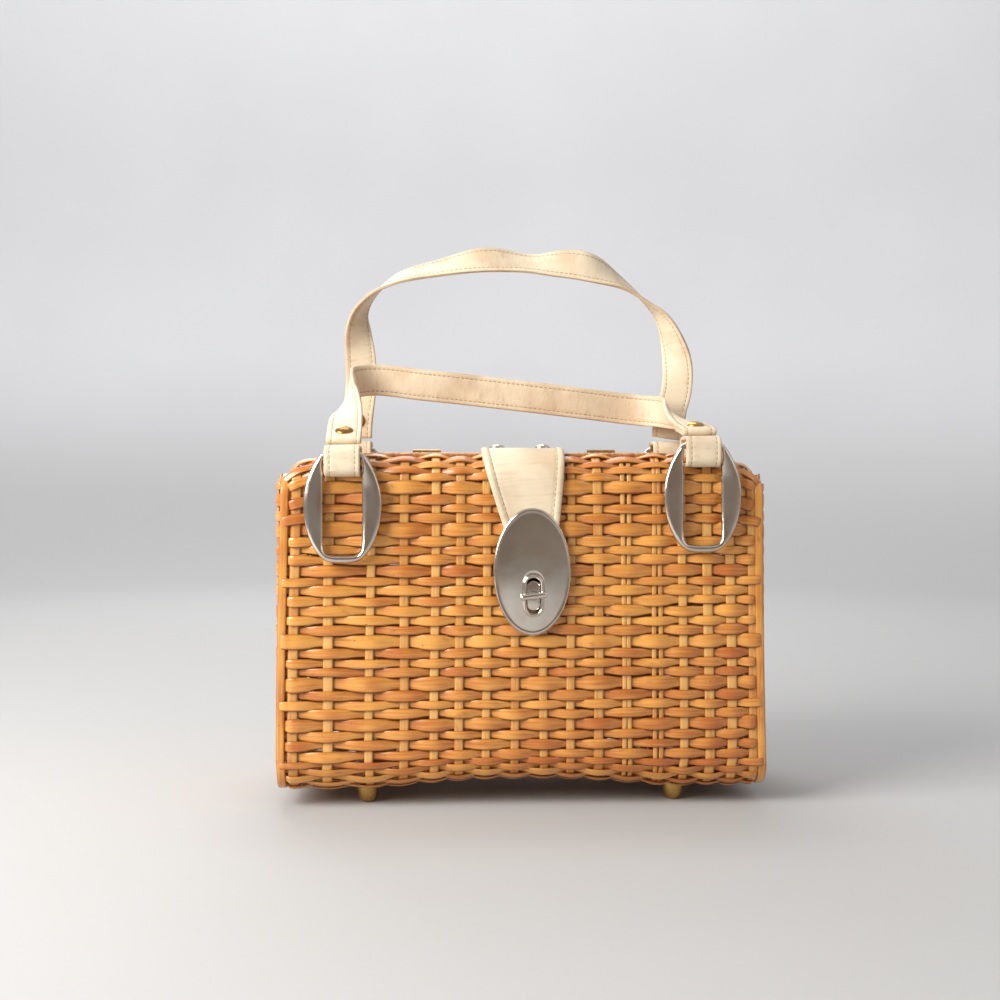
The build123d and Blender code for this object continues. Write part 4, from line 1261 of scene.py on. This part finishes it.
rim = np.exp(-(((outness - RIM_AT) / RIM_WIDE) ** 2)) * RIM_RISE
roll = EDGE_ROLL * np.clip((outness - 0.97) / 0.03, 0, 1)
height = EDGE_THICK + DOME_RISE * (1 - outness**2) + rim - roll
front = np.stack([flat[..., 0], -height, flat[..., 1]], axis=-1)
behind = np.stack([flat[:, ::-4, 0], 0 * flat[:, ::-4, 0], flat[:, ::-4, 1]], axis=-1)
plate = Sheaf()
plate_back = np.array([plate_middle[0], plate_high[1], plate_middle[2]])
plate.sweep(np.concatenate([front, behind], axis=1)[::-1] + plate_back, np.zeros(3), closed=True)
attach(plate.make("oval_plate", nickel_finish, "nickel", ["clasp_plate"]), "tab")

# %% [markdown]
# The eyelet is a rounded frame on the plate's slot. Through it stands the boss of the lock, a block with
# the slot's own outline, and across the boss lies the bar that turns. The bar is thickest in its middle
# and was never quite level.

# %% Eyelet and lock
eyelet_line = slot_outline(4.55, 9.9)
eyelet_path = np.stack([eyelet_line[:, 0], 0 * ANGLES, eyelet_line[:, 1]], axis=1)
eyelet_path += (lock_middle[0], plate_high[1] - 2.35, lock_middle[2])
eyelet = Sheaf()
oval_bead = ROUND * (0.95, 1.15)
eyelet.sweep(carried(eyelet_path, np.broadcast_to(-Y_AXIS, eyelet_path.shape), oval_bead, closed=True),
             np.zeros(3), closed=True)
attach(eyelet.make("eyelet", nickel_finish, "nickel", ["clasp_eyelet"]), "tab")


def slot_block(sheaf, half_wide, half_high, steps):
    """A block with a slot's outline: steps of (share of its size, distance in front of the wall)."""
    outline = slot_outline(half_wide, half_high)
    rings = [
        np.stack([lock_middle[0] + outline[:, 0] * share, -FACE - out + 0 * ANGLES,
                  lock_middle[2] + outline[:, 1] * share], axis=1)
        for share, out in steps
    ]
    sheaf.sweep(np.array(rings), np.zeros(3))


base = Sheaf()
slot_block(base, 9.0, 15.0, [(1.0, 0.0), (1.0, 0.3)])
slot_block(base, 3.7, 7.8, [(1.0, 0.3), (1.0, 3.7), (0.94, 4.1), (0.8, 4.3), (0.3, 4.35)])
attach(base.make("lock_boss", nickel_finish, "nickel", ["lock_base"]), "basket")

knob_low, knob_high = corners("lock_knob")
BAR_SLOPE, BAR_THICK, BAR_WAIST = 0.13, 1.6, 0.3
bar_y = knob_low[1] + 1.75
reach = (knob_high[0] - knob_low[0]) / 2
bar_x = reach * np.sin(np.linspace(-math.pi / 2, math.pi / 2, 23))
bar_z = lock_middle[2] + BAR_SLOPE * bar_x
bar_line = np.stack([lock_middle[0] + bar_x, bar_y + 0 * bar_x, bar_z], axis=1)
round_off = np.sqrt(np.clip(1.02 - (bar_x / reach) ** 6, 0.02, 1))
waist = (BAR_THICK + BAR_WAIST * np.cos(math.pi * bar_x / reach) ** 2) * round_off
bar_normals = np.broadcast_to(-Y_AXIS, bar_line.shape)
knob = Sheaf()
knob.sweep(carried(bar_line, bar_normals, ROUND, waist, waist * 0.95), np.zeros(3))
spindle = [(0.01, 0.0), (1.6, 0.0), (1.6, 10.5), (2.3, 11.2), (2.1, 12.6), (0.01, 12.8)]
lathe(knob, spindle, (lock_middle[0], knob_high[1], lock_middle[2]), -Y_AXIS)
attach(knob.make("turning_bar", nickel_finish, "nickel", ["lock_knob"]), "knob")

# %% [markdown]
# ## Small fittings that keep their shape
# Hinges, pins, washers, nuts and the lock's back plate are plain turned or stamped parts, and the frame
# already has them exactly. They only need their finish, and so does the rattan hoop under the mouth.

# %% Finish the fittings
def hoop_rattan():
    """Peeled rattan rod: the frame's mesh has no grain, so its fibres follow the bag's length."""
    f = Finish("rattan_hoop", coat_weight=0.3, coat_roughness=0.25)
    fibres = f.noise(f.stretched(f.where(), 60, 900, 900), 1.0, 3.0)
    patches = f.noise(f.where(), 60.0, 2.0)
    f.feed(
        base_color=f.mixed(paint(224, 172, 100), paint(150, 92, 40), fibres * 0.6 + patches * 0.4),
        roughness=0.35 + fibres * 0.2,
        normal=f.bump(fibres, 0.3, 0.0004),
    )
    return f.material


fitting_finishes = {"rim_hoop": hoop_rattan(), "lock_backplate": nickel_finish}
for node_name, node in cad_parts.items():
    if node.hide_render:
        continue
    finish = fitting_finishes.get(node_name, brass_finish)
    node.data.materials.clear()
    node.data.materials.append(finish)
    print("kept", node_name, "with", finish.name)
